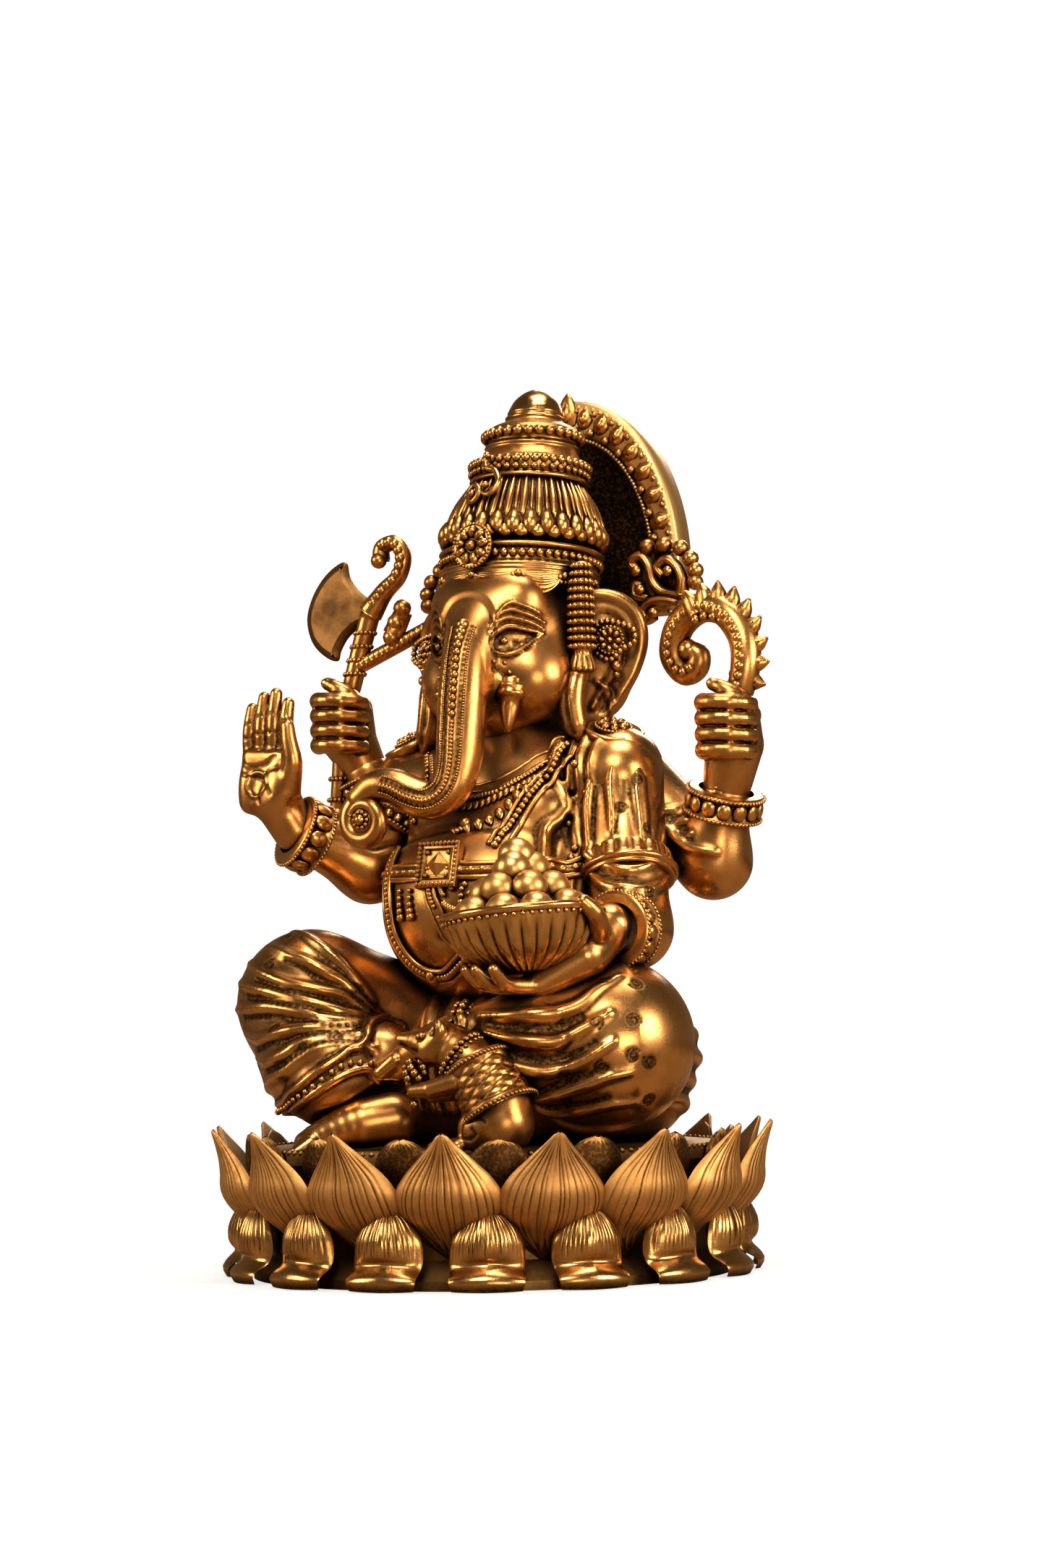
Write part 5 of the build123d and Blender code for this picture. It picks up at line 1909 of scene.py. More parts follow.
        lobe = flowing(
            [
                (29.5 * side, 15, 202), (28.4 * side, 11.5, 194), (28.0 * side, 10.5, 187),
                (29.4 * side, 10.5, 180), (31.8 * side, 11, 173.5),
            ],
            20,
        )
        block.rope(lobe, [2.6, 4.0, 4.6, 4.3, 0.9], 1.2)
        slit = block.settle(
            flowing(
                [
                    (27.6 * side, 5, 199), (27.4 * side, 5, 190), (28.6 * side, 5, 182),
                    (30.8 * side, 5, 176.5),
                ],
                16,
            ),
            0.3,
        )
        block.rope(slit, [0.4, 1.1, 1.3, 0.4], 0.8, carve=True)
        block.marks.append((slit, 1.0))
        return block, Casting("left_ear_casting" if side > 0 else "right_ear_casting")

    def build(self) -> Clay:
        """Makes the head's pieces.

        Returns:
            The carved head, for dressing.
        """
        block = self.face()
        cast = Casting("head_and_trunk")
        cast.clay(block, 2)
        self.dress(block, cast)
        cast.make(["head", "trunk"], self.finishes.skin, Slot.BODY)
        for side, length, node in ((1, 12.0, "left_tusk"), (-1, 6.0, "right_tusk")):
            self.tusk(side, length).make([node], self.finishes.skin)
        for side, node in ((1, "left_ear"), (-1, "right_ear")):
            ear_block, ear_cast = self.ear(side)
            ear_cast.clay(ear_block, 2)
            ear_cast.make([node], self.finishes.skin, Slot.BODY)
        return block


# ---- crown, halo and what hangs from them --------------------------------------------------
@dataclass
class Crown:
    """The tiered crown, its band with swags, tassels and the halo behind it."""

    finishes: Finishes
    lean_deg: float = -12.0
    ring_tilt_deg: float = -4.0
    seat: Point = (0.0, 25.0, 237.0)
    halo_centre: Point = (0.0, 64.0, 238.0)

    def pose(self) -> np.ndarray:
        """The crown's placing frame: local Z is its axis."""
        lean, tilt = math.radians(-self.lean_deg), math.radians(self.ring_tilt_deg)
        return np.array(
            [
                [1.0, 0.0, 0.0, self.seat[0]], [0.0, math.cos(tilt), math.sin(lean), self.seat[1]],
                [0.0, math.sin(tilt), math.cos(lean), self.seat[2]],
            ]
        )

    def lift(self, points: np.ndarray) -> np.ndarray:
        """Moves points from the crown's own frame to the figure's."""
        pose = self.pose()
        return np.asarray(points, float) @ pose[:, :3].T + pose[:, 3]

    def ring(
        self, radius: float, height: float, count: int, phase: float = 0.0,
    ) -> tuple[np.ndarray, np.ndarray]:
        """Points and outward directions round the crown."""
        turn = full_turn(count) + phase
        points = circle(radius, turn, height)
        out = circle(1.0, turn)
        return self.lift(points), out @ self.pose()[:, :3].T

    def band(self) -> None:
        """Builds the band: two ridges, a bead row and the swags over the forehead."""
        cast = Casting("crown_band_ridges")
        profile = [
            (23.5, -8.0), (25.8, -8.0), (26.8, -7.2), (27.2, -6.2), (26.8, -5.4), (27.5, -4.8),
            (27.0, -4.0), (27.7, -3.4), (27.2, -2.6), (26.5, -1.8), (26.4, 0.6), (26.5, 2.0), (27.6, 2.6),
            (28.3, 3.4), (27.8, 4.2), (26.2, 4.8), (24.5, 5.0),
        ]
        cast.lathe(profile, self.pose(), 120, fine=2)
        cast.beads(self.ring(27.1, 0.3, 56)[0], 1.4)
        step = math.radians(34)
        for index in range(-3, 4):
            start = -math.pi / 2 + math.radians(14) + step * index
            turn = start + np.linspace(-step / 2, step / 2, 17)
            sag = 1 - np.linspace(-1, 1, 17) ** 2
            for part in range(6):
                drop = 5.4 * (part + 0.5) / 6
                run = np.stack(
                    [
                        (26.9 + 0.5 * math.sin(math.pi * part / 5)) * np.cos(turn),
                        (26.9 + 0.5 * math.sin(math.pi * part / 5)) * np.sin(turn), -6.6 - drop * sag,
                    ],
                    1,
                )
                cast.tube(self.lift(run), [0.4, 0.85, 0.4], 8)
            for drop, size in ((5.6, 0.75), (7.0, 0.6)):
                run = np.stack([27.4 * np.cos(turn), 27.4 * np.sin(turn), -6.6 - drop * sag], 1)
                cast.tube(self.lift(run), size, 8)
            knot = np.array(
                [
                    [27.9, -7.2, 0.0], [27.5, -9.4, 0.9], [27.5, -9.4, -0.9], [27.8, -7.8, 1.7],
                    [27.8, -7.8, -1.7],
                ]
            )
            turn = start - step / 2 + knot[:, 2] / 27.5
            cast.beads(
                self.lift(np.stack([knot[:, 0] * np.cos(turn), knot[:, 0] * np.sin(turn), knot[:, 1]], 1)),
                np.array([1.3, 0.8, 0.8, 0.9, 0.9]),
            )
        cast.make(["crown_band"], self.finishes.trim)

    def flower(
        self, cast: Casting, centre: Point, out: Point, radius: float, petals: int, thick: float = 1.3,
    ) -> None:
        """Adds a small flower: a disc, a bead ring of petals and a boss.

        Args:
            cast: The piece it goes into.
            centre: Where it sits.
            out: The direction that it faces.
            radius: Its outer radius.
            petals: How many petals it has.
            thick: How far the petals stand up.
        """
        pose = seat(centre, out, (0.05, 0.1, 1.0))
        cast.lathe(
            [
                (0.1, -1.8), (radius * 0.92, -1.8), (radius, -0.8), (radius, 0.0), (radius * 0.9, 0.5),
                (radius * 0.8, 0.2), (0.1, 0.3),
            ],
            pose, 40,
        )
        turn = full_turn(petals)
        ring = np.stack(
            [0.62 * radius * np.cos(turn), 0.62 * radius * np.sin(turn), np.full(petals, 0.5)], 1,
        )
        out_ways = circle(1.0, turn) @ pose[:, :3].T
        poses = stance(carried(ring, pose), np.tile(pose[:, 2], (petals, 1)), out_ways)
        cast.stamp(
            BEAD, poses, np.array([radius * 0.3, radius * 0.62 * math.pi / petals * 0.95, thick]), 0.7,
        )
        cast.stamp(BEAD, pose[None], np.array([radius * 0.28, radius * 0.28, thick * 1.5]), 0.6)
        count = int(2 * math.pi * radius / 1.3)
        turn = full_turn(count)
        edge = np.stack(
            [0.97 * radius * np.cos(turn), 0.97 * radius * np.sin(turn), np.full(count, 0.2)], 1,
        )
        cast.beads(carried(edge, pose), 0.62)

    def dome(self) -> None:
        """Builds the dome with its lance flutes and teardrop row, the beaded tiers and the plain bud."""
        pose = self.pose()
        dome = Casting("crown_dome_leaves")
        profile = [
            (23.6, 6.0), (26.0, 6.8), (27.3, 9.2), (26.4, 13), (23.8, 19.5), (20.6, 25.5), (18.2, 29.4),
            (17.4, 30.6),
        ]
        dome.lathe(profile, pose, 96, fine=3)
        # Painted shade: the dome's body under the leaves is darkened, so the gaps between the leaves look
        # dark.
        dome.dark[-1] = np.full(len(dome.points[-1]), 0.75)
        shape = flowing([(r, z) for r, z in profile], 60)
        around = 30
        for part, size, wide, thick, shift in (
            (0.62, 9.4, 0.62, 1.7, 0.0), (0.66, 7.6, 0.34, 1.5, 0.5), (0.27, 4.2, 0.92, 2.6, 0.5),
            (0.14, 2.4, 0.98, 2.0, 0.0),
        ):
            spot = shape[int(part * 59)]
            ahead = shape[min(int(part * 59) + 4, 59)] - shape[int(part * 59) - 4]
            slope = math.atan2(-ahead[0], ahead[1])
            turn = full_turn(around) + 2 * math.pi / around * shift
            places = np.stack(
                [spot[0] * np.cos(turn), spot[0] * np.sin(turn), np.full(around, spot[1])], 1,
            )
            out = np.stack(
                [
                    np.cos(turn) * math.cos(slope), np.sin(turn) * math.cos(slope),
                    np.full(around, math.sin(slope)),
                ],
                1,
            )
            up = np.stack(
                [
                    -np.cos(turn) * math.sin(slope), -np.sin(turn) * math.sin(slope),
                    np.full(around, math.cos(slope)),
                ],
                1,
            )
            turned = pose[:, :3].T
            poses = stance(self.lift(places), out @ turned, up @ turned)
            dome.stamp(LEAF, poses, np.array([size, spot[0] * math.pi / around * wide, thick]), 0.9)
        for path in (
            [
                (-3, 3.5, 261), (1.5, 2.6, 259.5), (4.2, 4.4, 263.5), (1.6, 6.6, 268), (-2.4, 7.6, 269.4),
                (-3.4, 9.0, 272),
            ],
            [(-9, 5.0, 260), (-5.2, 3.0, 257.6), (-2.4, 3.0, 260.6), (-5, 4.6, 263.4), (-7.8, 5.0, 261.6)],
        ):
            dome.tube(flowing(path, 30), [0.7, 1.1, 1.1, 0.8], 8, up=(0, 1, 0))
        dome.beads(
            np.array([[-0.4, 3.6, 263.0], [-5.4, 3.0, 260.4], [-3.2, 9.6, 274.0], [2.6, 3.6, 261.0]]),
            1.3,
        )
        dome.make(["crown_dome"], self.finishes.trim)
        tiers = Casting("crown_tier_rings")
        tiers.lathe(
            [
                (17.0, 29.0), (19.6, 29.0), (20.4, 29.8), (20.0, 30.8), (19.0, 31.2), (19.6, 32.4),
                (20.2, 35.0), (19.4, 36.8), (18.0, 37.8), (16.4, 40.0), (15.8, 41.6), (16.4, 42.4),
                (15.9, 43.2), (15.0, 43.8), (15.4, 45.0), (16.4, 46.4), (16.2, 48.0), (14.8, 49.6),
                (12.2, 51.0), (10.4, 52.0), (10.0, 52.9),
            ],
            pose, 96, fine=3,
        )
        for radius, height, count, size in (
            (20.0, 35.4, 40, 1.6), (20.0, 32.6, 40, 1.2), (16.4, 46.4, 28, 1.8),
        ):
            tiers.beads(self.ring(radius, height, count)[0], size)
        tiers.make(["crown_tiers"], self.finishes.trim)
        top = Casting("crown_bud")
        top.lathe(
            [
                (9.0, 52.3), (10.0, 52.9), (10.3, 53.7), (9.6, 54.3), (9.2, 54.8), (9.7, 55.3),
                (9.4, 56.2), (8.9, 57.6), (7.6, 60.2), (5.2, 62.6), (2.4, 64.2), (0.05, 64.9),
            ],
            pose, 64, fine=4,
        )
        top.make(["crown_finial"], self.finishes.bowl)

    def tassels(self) -> None:
        """Hangs the bead-string tassels in front of the ears."""
        for side, node in ((1, "crown_tassel_left"), (-1, "crown_tassel_right")):
            cast = Casting("bead_tassel_left" if side > 0 else "bead_tassel_right")
            x, back = (30.0, 0.0) if side > 0 else (-27.0, 7.0)
            run = flowing(
                [
                    (x, 14.6 + back, 234), (x, 14.0 + back, 227), (x * 1.01, 13.4 + back, 216),
                    (x * 1.02, 13.2 + back, 204),
                ],
                12,
            )
            sizes = spread([3.2, 3.9, 4.2, 4.3, 4.4, 4.6], 12)
            for spot, size in zip(run[:-1], sizes):
                pose = stance(spot[None], np.array([[0, 0, 1.0]]), np.array([[1.0, 0, 0]]))[0]
                cast.lathe(
                    [(0.6, -1.6), (size * 0.8, -1.3), (size, 0), (size * 0.8, 1.3), (0.6, 1.6)], pose, 24,
                )
                ring = full_turn(12)
                cast.beads(
                    spot + np.stack(
                        [size * 0.92 * np.cos(ring), size * 0.92 * np.sin(ring), np.zeros(12)], 1,
                    ),
                    0.95,
                )
            pose = seat((x * 1.02, 13.2 + back, 205.0), (0, 0, -1.0))
            cast.lathe(
                [(0.3, -2), (3.6, -1.4), (3.2, 0.4), (4.1, 3.2), (4.6, 5.6), (4.4, 6.6), (0.4, 6.9)],
                pose, 48, 12, 0.7, (0.3, 0.95), 3,
            )
            cast.make([node], self.finishes.trim)

    def halo_ring(self, a: float, b: float, count: int, first: float, last: float) -> np.ndarray:
        """Angles along an arch of half-width a and height b, evenly spaced by length."""
        turn = np.linspace(math.radians(first), math.radians(last), 400)
        run = np.stack([a * np.cos(turn), b * np.sin(turn)], 1)
        steps = np.concatenate([[0], np.cumsum(np.linalg.norm(np.diff(run, axis=0), axis=1))])
        return np.interp(np.linspace(0, steps[-1], count), steps, turn)

    def halo(self) -> None:
        """Builds the halo plate, its beaded border, its leaves and its side scrolls."""
        cx, cy, cz = self.halo_centre
        front, back, cut = cy - 6.0, cy + 6.0, 222.0
        cast = Casting("halo_plate")
        levels = (
            (1.0, 2.0), (1.0, 10.6), (0.985, 11.6), (0.95, 12.0), (0.9, 11.4), (0.85, 11.9), (0.81, 11.6),
            (0.78, 10.4), (0.74, 8.6), (0.5, 8.0), (0.1, 8.0), (0.001, 8.0),
        )
        around = full_turn(160)
        rows = [(0.001, 0.0), (0.9, 0.0), (0.97, 0.5), *levels]
        stack = []
        for part, depth in rows:
            x = cx + 43.0 * part * np.cos(around)
            z = np.maximum(cz + 61.0 * part * np.sin(around) * np.where(np.sin(around) < 0, 0.6, 1), cut)
            stack.append(np.stack([x, np.full(160, back - depth), z], 1))
        # Painted shade: the recessed inner field behind the head and crown is painted fully dark.
        shade = np.repeat([0.0 if part > 0.79 or depth < 3 else 1.0 for part, depth in rows], 160)
        cast.add(np.vstack(stack), grid_faces(len(rows), 160, True), shade)
        turns = self.halo_ring(40.4, 57.6, 64, -16, 196)
        cast.beads(
            np.stack([cx + 40.9 * np.cos(turns), np.full(64, front + 0.6), cz + 58.6 * np.sin(turns)], 1),
            1.0,
        )
        turns = self.halo_ring(32.6, 47.6, 110, -16, 196)
        cast.beads(
            np.stack([cx + 33.0 * np.cos(turns), np.full(110, front + 0.4), cz + 47.6 * np.sin(turns)], 1),
            0.8,
        )
        cast.make(["halo_disc"], self.finishes.plate)
        leaves = Casting("halo_leaves")
        for index in range(19):
            turn = math.radians(-4.5 + 10.5 * index)
            way = unit(np.array([[math.cos(turn), -0.05, math.sin(turn) * 0.9]]))
            place = np.array([[cx + 38 * math.cos(turn), front + 0.6, cz + 55.2 * math.sin(turn)]])
            tall, wide = (7.4, 4.4) if index == 9 else (4.6, 3.3)
            poses = stance(place + way * (1.4 if index == 9 else 0), np.array([[0, -1.0, 0]]), way)
            leaves.stamp(LEAF, poses, np.array([tall, wide, 1.9]), 0.8)
            leaves.stamp(LEAF, poses, np.array([tall * 0.62, wide * 0.6, 3.0]), 0.5)
            between = math.radians(-4.5 + 10.5 * (index + 0.5))
            if index < 18:
                spot = np.array(
                    [[cx + 34.6 * math.cos(between), front - 0.2, cz + 50.6 * math.sin(between)]]
                )
                leaves.beads(spot, 1.5)
                tip = np.array(
                    [[cx + 40.0 * math.cos(between), front + 0.4, cz + 57.4 * math.sin(between)]]
                )
                leaves.beads(tip, 1.1)
        leaves.make(["halo_petals"], self.finishes.trim)
        for side, node in ((1, "halo_scroll_left"), (-1, "halo_scroll_right")):
            scroll = Casting("halo_curl_left" if side > 0 else "halo_curl_right")
            wires = (
                (
                    [
                        (31.7, 50, 236), (29.6, 50, 238.7), (33.2, 50, 240.7), (36.3, 50, 237.3),
                        (37.8, 50, 231.8), (41.4, 50, 227.9), (48.4, 50, 225.8),
                    ],
                    1.9,
                ),
                (
                    [
                        (48.7, 50, 226.3), (49.5, 49.5, 230.8), (47.5, 49.5, 235.9), (43.4, 49.5, 238.6),
                        (40.0, 49.5, 236.1), (42.3, 49.5, 233.0),
                    ],
                    1.9,
                ),
                (
                    [
                        (38.5, 49, 219.9), (35.7, 49, 218.6), (34.1, 49, 221.6), (37.2, 49, 224.3),
                        (42.9, 49.4, 224.7), (47.5, 50, 223.6),
                    ],
                    1.8,
                ),
                ([(33.5, 49, 230), (31.6, 49, 231), (31.4, 49, 227.6), (36.3, 49, 225.8)], 1.5),
            )
            for wire, thick in wires:
                run = flowing([(x * side, y, z) for x, y, z in wire], 40)
                scroll.tube(run, [thick * 1.15, thick, thick, thick * 0.8], 10, squash=1.1, up=(0, 1, 0))
                scroll.tube(
                    run + np.array([0, -thick * 0.95, 0]), [0.55, 0.5], 6, up=(0, 1, 0), dark=-0.3,
                )
            balls = np.array(
                [
                    (35.7, 50, 243.6), (42.3, 50, 243.8), (48.6, 50, 242.2), (52.4, 50, 238.4),
                    (54.2, 50, 234.2), (54.0, 50, 230.2),
                ]
            ) * (side, 1, 1)
            scroll.beads(balls, 2.9)
            scroll.beads(
                np.array(
                    [(44.6, 48, 234.5), (32.3, 48, 235.5), (38.6, 47.8, 220.6), (33.6, 48, 229)]
                ) * (side, 1, 1),
                1.9,
            )
            # Painted shade: dark plates behind the scroll, seen through its openwork.
            plate = flowing([(33 * side, 53, 243), (33 * side, 53, 234), (36 * side, 53, 226)], 12)
            scroll.tube(plate, [3.4, 4.4, 3.6], 12, squash=0.6, up=(0, 1, 0), dark=0.7)
            backing = flowing(
                [(40 * side, 52.4, 240), (45 * side, 52.4, 232), (47 * side, 52.4, 226)], 12,
            )
            scroll.tube(backing, [3.6, 5.2, 3.0], 12, squash=0.4, up=(0, 1, 0), dark=0.9)
            scroll.make([node], self.finishes.trim)

    def pendants(self) -> None:
        """Hangs the ear pendants and lays the shoulder discs."""
        for side, node in ((1, "ear_pendant_left"), (-1, "ear_pendant_right")):
            cast = Casting("ear_flower_left" if side > 0 else "ear_flower_right")
            frame_line = [
                (31.9, 21, 214.5), (31.0, 20.5, 209.6), (31.7, 20.5, 205.4), (36.4, 21.5, 202.6),
                (40.5, 23, 206.2), (44.0, 25, 208.4), (43.4, 25, 212.9), (39.1, 23, 214.8),
                (34.7, 22, 215.7),
            ]
            run = flowing([(x * side, y, z) for x, y, z in frame_line], 22, closed=True)
            cast.beads(run, 1.15)
            self.flower(cast, (36.6 * side, 21.4, 209.2), (0.45 * side, -1, 0.0), 4.6, 8, 1.2)
            cast.beads(
                np.array([[38.5 * side, 22.3, 200.4], [38.5 * side, 22.3, 197.6], [29.4 * side, 19, 211]]),
                np.array([1.9, 1.2, 1.2]),
            )
            cast.make([node], self.finishes.trim)
        for side, node in ((1, "shoulder_disc_left"), (-1, "shoulder_disc_right")):
            cast = Casting("shoulder_flower_left" if side > 0 else "shoulder_flower_right")
            self.flower(cast, (40.0 * side, 16.8, 179.6), (0.34 * side, -0.3, 1.0), 6.2, 8, 1.9)
            pose = seat((40.0 * side, 17.2, 177.4), (0.34 * side, -0.3, 1.0))
            cast.lathe(
                [
                    (0.2, -3.0), (7.6, -2.8), (9.4, -1.4), (10.1, 0.6), (9.9, 1.8), (9.0, 1.9),
                    (8.2, 0.9), (0.2, 0.6),
                ],
                pose, 56, fine=2,
            )
            cast.make([node], self.finishes.trim)

    def build(self) -> None:
        """Makes every piece above the face."""
        self.band()
        self.dome()
        cast = Casting("crown_front_flower")
        self.flower(cast, (-1.0, -4.4, 241.5), (-0.05, -1, 0.12), 7.6, 9, 1.7)
        turn = full_turn(14)
        cast.beads(
            np.stack([-1 + 5.0 * np.cos(turn), np.full(14, -5.6), 241.5 + 5.0 * np.sin(turn)], 1), 0.7,
        )
        cast.make(["crown_flower"], self.finishes.trim)
        self.tassels()
        self.halo()
        self.pendants()


# ---- what the four hands carry -------------------------------------------------------------
@dataclass
class Attributes:
    """The axe, the goad with its leaves, the bowl and its sweets."""

    finishes: Finishes
    axe: Point = (-62.0, 25.0, 226.0)

    def plate(self, cast: Casting, outline: np.ndarray, y: float, half: float, edge: float) -> None:
        """Adds a flat plate in the XZ plane with bevelled edges and both its faces.

        Args:
            cast: The piece it goes into.
            outline: Its (x, z) outline.
            y: Its middle level.
            half: Half its thickness.
            edge: How wide the bevel is.
        """
        inward = unit(np.roll(outline, -1, 0) - np.roll(outline, 1, 0))[:, ::-1] * np.array([[-1.0, 1.0]])
        backwards = (inward * (outline.mean(0) - outline)).sum(1, keepdims=True) < 0
        inward = np.where(backwards, -inward, inward)
        rings = []
        for part, depth in ((edge, -half), (0.0, -0.25 * half), (0.0, 0.25 * half), (edge, half)):
            ring = outline + inward * part
            rings.append(np.stack([ring[:, 0], np.full(len(ring), y + depth), ring[:, 1]], 1))
        cast.add(np.vstack(rings), grid_faces(4, len(outline), True))
        triangles = np.array(
            tessellate_polygon([[Vector((x, z, 0)) for x, z in outline + inward * edge]])
        )
        faces = np.hstack([triangles, triangles[:, 2:]])
        cast.add(rings[0], faces[:, [0, 2, 1, 1]])
        cast.add(rings[3], faces)

    def build_axe(self) -> None:
        """Builds the axe: beaded shaft, crescent blade, strut and the curl of beads above."""
        shaft = Casting("axe_shaft_and_curl")
        foot = (-77.0, 25.0, 156.0)
        run = flowing([foot, (-73, 24, 187), (-68, 25, 208), self.axe], 30)
        shaft.tube(run, [3.0, 3.2, 3.4, 3.6], 14, up=(0, 1, 0))
        shaft.beads(np.array([foot]), 3.7)
        for index in (2, 5, 20, 22, 24, 26):
            ring = run[index]
            turn = full_turn(14)
            shaft.beads(ring + circle(3.5, turn), 0.85)
        curl = flowing(
            [
                self.axe, (-56, 25, 233), (-50, 25, 238), (-47.8, 25, 244.5), (-51, 25, 249.8),
                (-56.6, 25, 248.6), (-57.2, 25, 244),
            ],
            60,
        )
        shaft.tube(curl, [4.4, 3.5, 3.0, 2.8, 2.8, 2.8, 3.2], 14, up=(0, 1, 0))
        shaft.beads(curl[6:54:4] + np.array([0, -2.3, 0]), 1.9)
        shaft.beads(curl[-1:] + np.array([[0, -1.5, 0]]), 2.9)
        strut = flowing([(-66, 25, 208), (-54, 28.6, 214), (-43, 33, 220)], 14)
        shaft.tube(strut, [2.8, 2.8, 2.8], 10, up=(0, 1, 0))
        shaft.beads(strut + np.array([0, -0.8, 0]), 2.4)
        shaft.tube([(-54, 27, 218), (-50, 28, 226)], [3.8, 3.2], 12, up=(0, 1, 0))
        shaft.beads(np.array([[-54, 26.2, 217], [-52, 26.0, 222], [-50, 27, 227]]), 3.2)
        shaft.make(["axe_shaft"], self.finishes.trim)
        blade = Casting("axe_crescent")
        outline = flowing(
            [
                (-60.2, 230.8), (-63.2, 231.6), (-67.2, 234.8), (-70.6, 239.4), (-72.0, 244.6),
                (-76.4, 243.6), (-82, 239.4), (-86.6, 233.0), (-88.8, 226), (-87.6, 219.2),
                (-84.4, 214.4), (-79.4, 210.8), (-76, 210.2), (-74.8, 213.6), (-71.4, 218.2),
                (-66.2, 221.4), (-60.6, 222.2),
            ],
            120, closed=True,
        )
        self.plate(blade, outline, 25.0, 1.7, 2.6)
        blade.make(["axe_blade"], self.finishes.blade)

    def build_goad(self) -> None:
        """Builds the goad: a curled stem with spiky leaves outside and beads inside."""
        cast = Casting("goad_scroll")
        spine = flowing(
            [
                (77, 22, 156), (82, 22, 180), (87, 22, 196), (86, 23, 207), (79, 24, 216), (69, 26, 218),
                (60, 28, 213), (56.5, 29, 204), (60, 30, 197.5), (65, 29.4, 198.5), (66.2, 29, 202.6),
                (63, 28.6, 204.6),
            ],
            150,
        )
        cast.tube(spine, [3.2, 3.6, 4.4, 5.0, 5.2, 5.2, 5.0, 4.4, 3.6], 16, up=(0, 1, 0))
        cast.beads(spine[46:140:4] + np.array([0, -4.2, 0]), 1.7)
        cast.beads(spine[-1:] + np.array([[0, -0.6, 0]]), 3.8)
        cast.beads(np.array([[77, 22, 156.0]]), 4.2)
        for index in range(9):
            angle = math.radians(-28 + 17.5 * index)
            c, s = math.cos(angle), math.sin(angle)
            root = np.array([74 + 12.5 * c, 23.0, 201 + 15 * s])
            tip = np.array([74 + 21.5 * c, 23.0, 201 + 25.5 * s])
            bend = np.array([-s, 0, c]) * 1.8
            run = flowing([tuple(root), tuple((root + tip) / 2 + bend * 0.4), tuple(tip + bend)], 12)
            cast.tube(run, [3.3, 3.4, 2.7, 0.4], 10, squash=0.85, up=(0, 1, 0))
            cast.beads(root[None] + np.array([[-1.6 * c, -2.6, -1.6 * s]]), 1.7)
            rib = run[:9] + np.array([0, -2.0, 0])
            cast.tube(rib, [0.9, 0.7, 0.3], 6, up=(0, 1, 0), dark=-0.2)
        for index in (*range(4), *range(10, 16)):
            cast.beads(spine[2 + 3 * index] + circle(3.5, full_turn(12)), 0.8)
        cast.make(["goad"], self.finishes.trim)

    def build_bowl(self) -> None:
        """Builds the fluted bowl with its rolled rim, and the heap of round sweets."""
        turn = Matrix.Translation((43, -46, 98)) @ Matrix.Rotation(math.radians(-5), 4, "Y")
        pose = np.array(turn)[:3]
        cast = Casting("fluted_bowl")
        outside = [
            (0.2, 0), (8.5, 0), (10.5, 0.8), (16.2, 3.2), (20.6, 6.8), (23.4, 11), (24.6, 15.4),
            (25.0, 17.4),
        ]
        rim = [
            (25.8, 17.6), (26.5, 18.2), (26.7, 19.1), (26.3, 19.9), (25.4, 20.2), (24.2, 20.0),
            (23.6, 19.4),
        ]
        inside = [(22.9, 16), (20.5, 10.5), (14.5, 5.5), (0.2, 3.6)]
        cast.lathe(outside, pose, 240, 30, 1.5, (0.16, 0.97), 4)
        cast.lathe([outside[-1], *rim, *inside], pose, 120, fine=3)
        count = 56
        ring_turn = full_turn(count)
        ring = np.stack([25.2 * np.cos(ring_turn), 25.2 * np.sin(ring_turn), np.full(count, 17.0)], 1)
        cast.beads(carried(ring, pose), 0.8)
        cast.make(["sweet_bowl"], self.finishes.bowl)
        heap = Casting("round_sweets")
        rng = np.random.default_rng(SEED + 5)
        big = globe(16, 24)
        for number, radius, height, phase in (
            (9, 17.0, 18.8, 0), (6, 10.6, 26.0, 20), (3, 4.6, 32.4, 40), (1, 0, 37.0, 0),
        ):
            angles = np.radians(
                phase + 360 / number * np.arange(number)
            ) + rng.uniform(-0.05, 0.05, number)
            spots = np.stack(
                [
                    radius * np.cos(angles), radius * np.sin(angles),
                    height + rng.uniform(-0.5, 0.3, number),
                ],
                1,
            )
            places = carried(spots, pose)
            poses = stance(places, rng.normal(size=(number, 3)), np.array([[1.0, 0.2, 0.1]]))
            heap.stamp(big, poses, rng.uniform(0.96, 1.05, (number, 3)) * 5.8)
        # Painted shade: a dark cone inside the heap, seen in the gaps between the sweets.
        heap.lathe([(0.1, 8), (17, 12), (16.5, 19), (9, 27), (2, 33), (0.1, 34)], pose, 32)
        heap.dark[-1] = np.full(len(heap.points[-1]), 0.9)
        heap.make(["sweets"], self.finishes.sweet)

    def build(self) -> None:
        """Makes everything that the hands carry."""
        self.build_axe()
        self.build_goad()
        self.build_bowl()


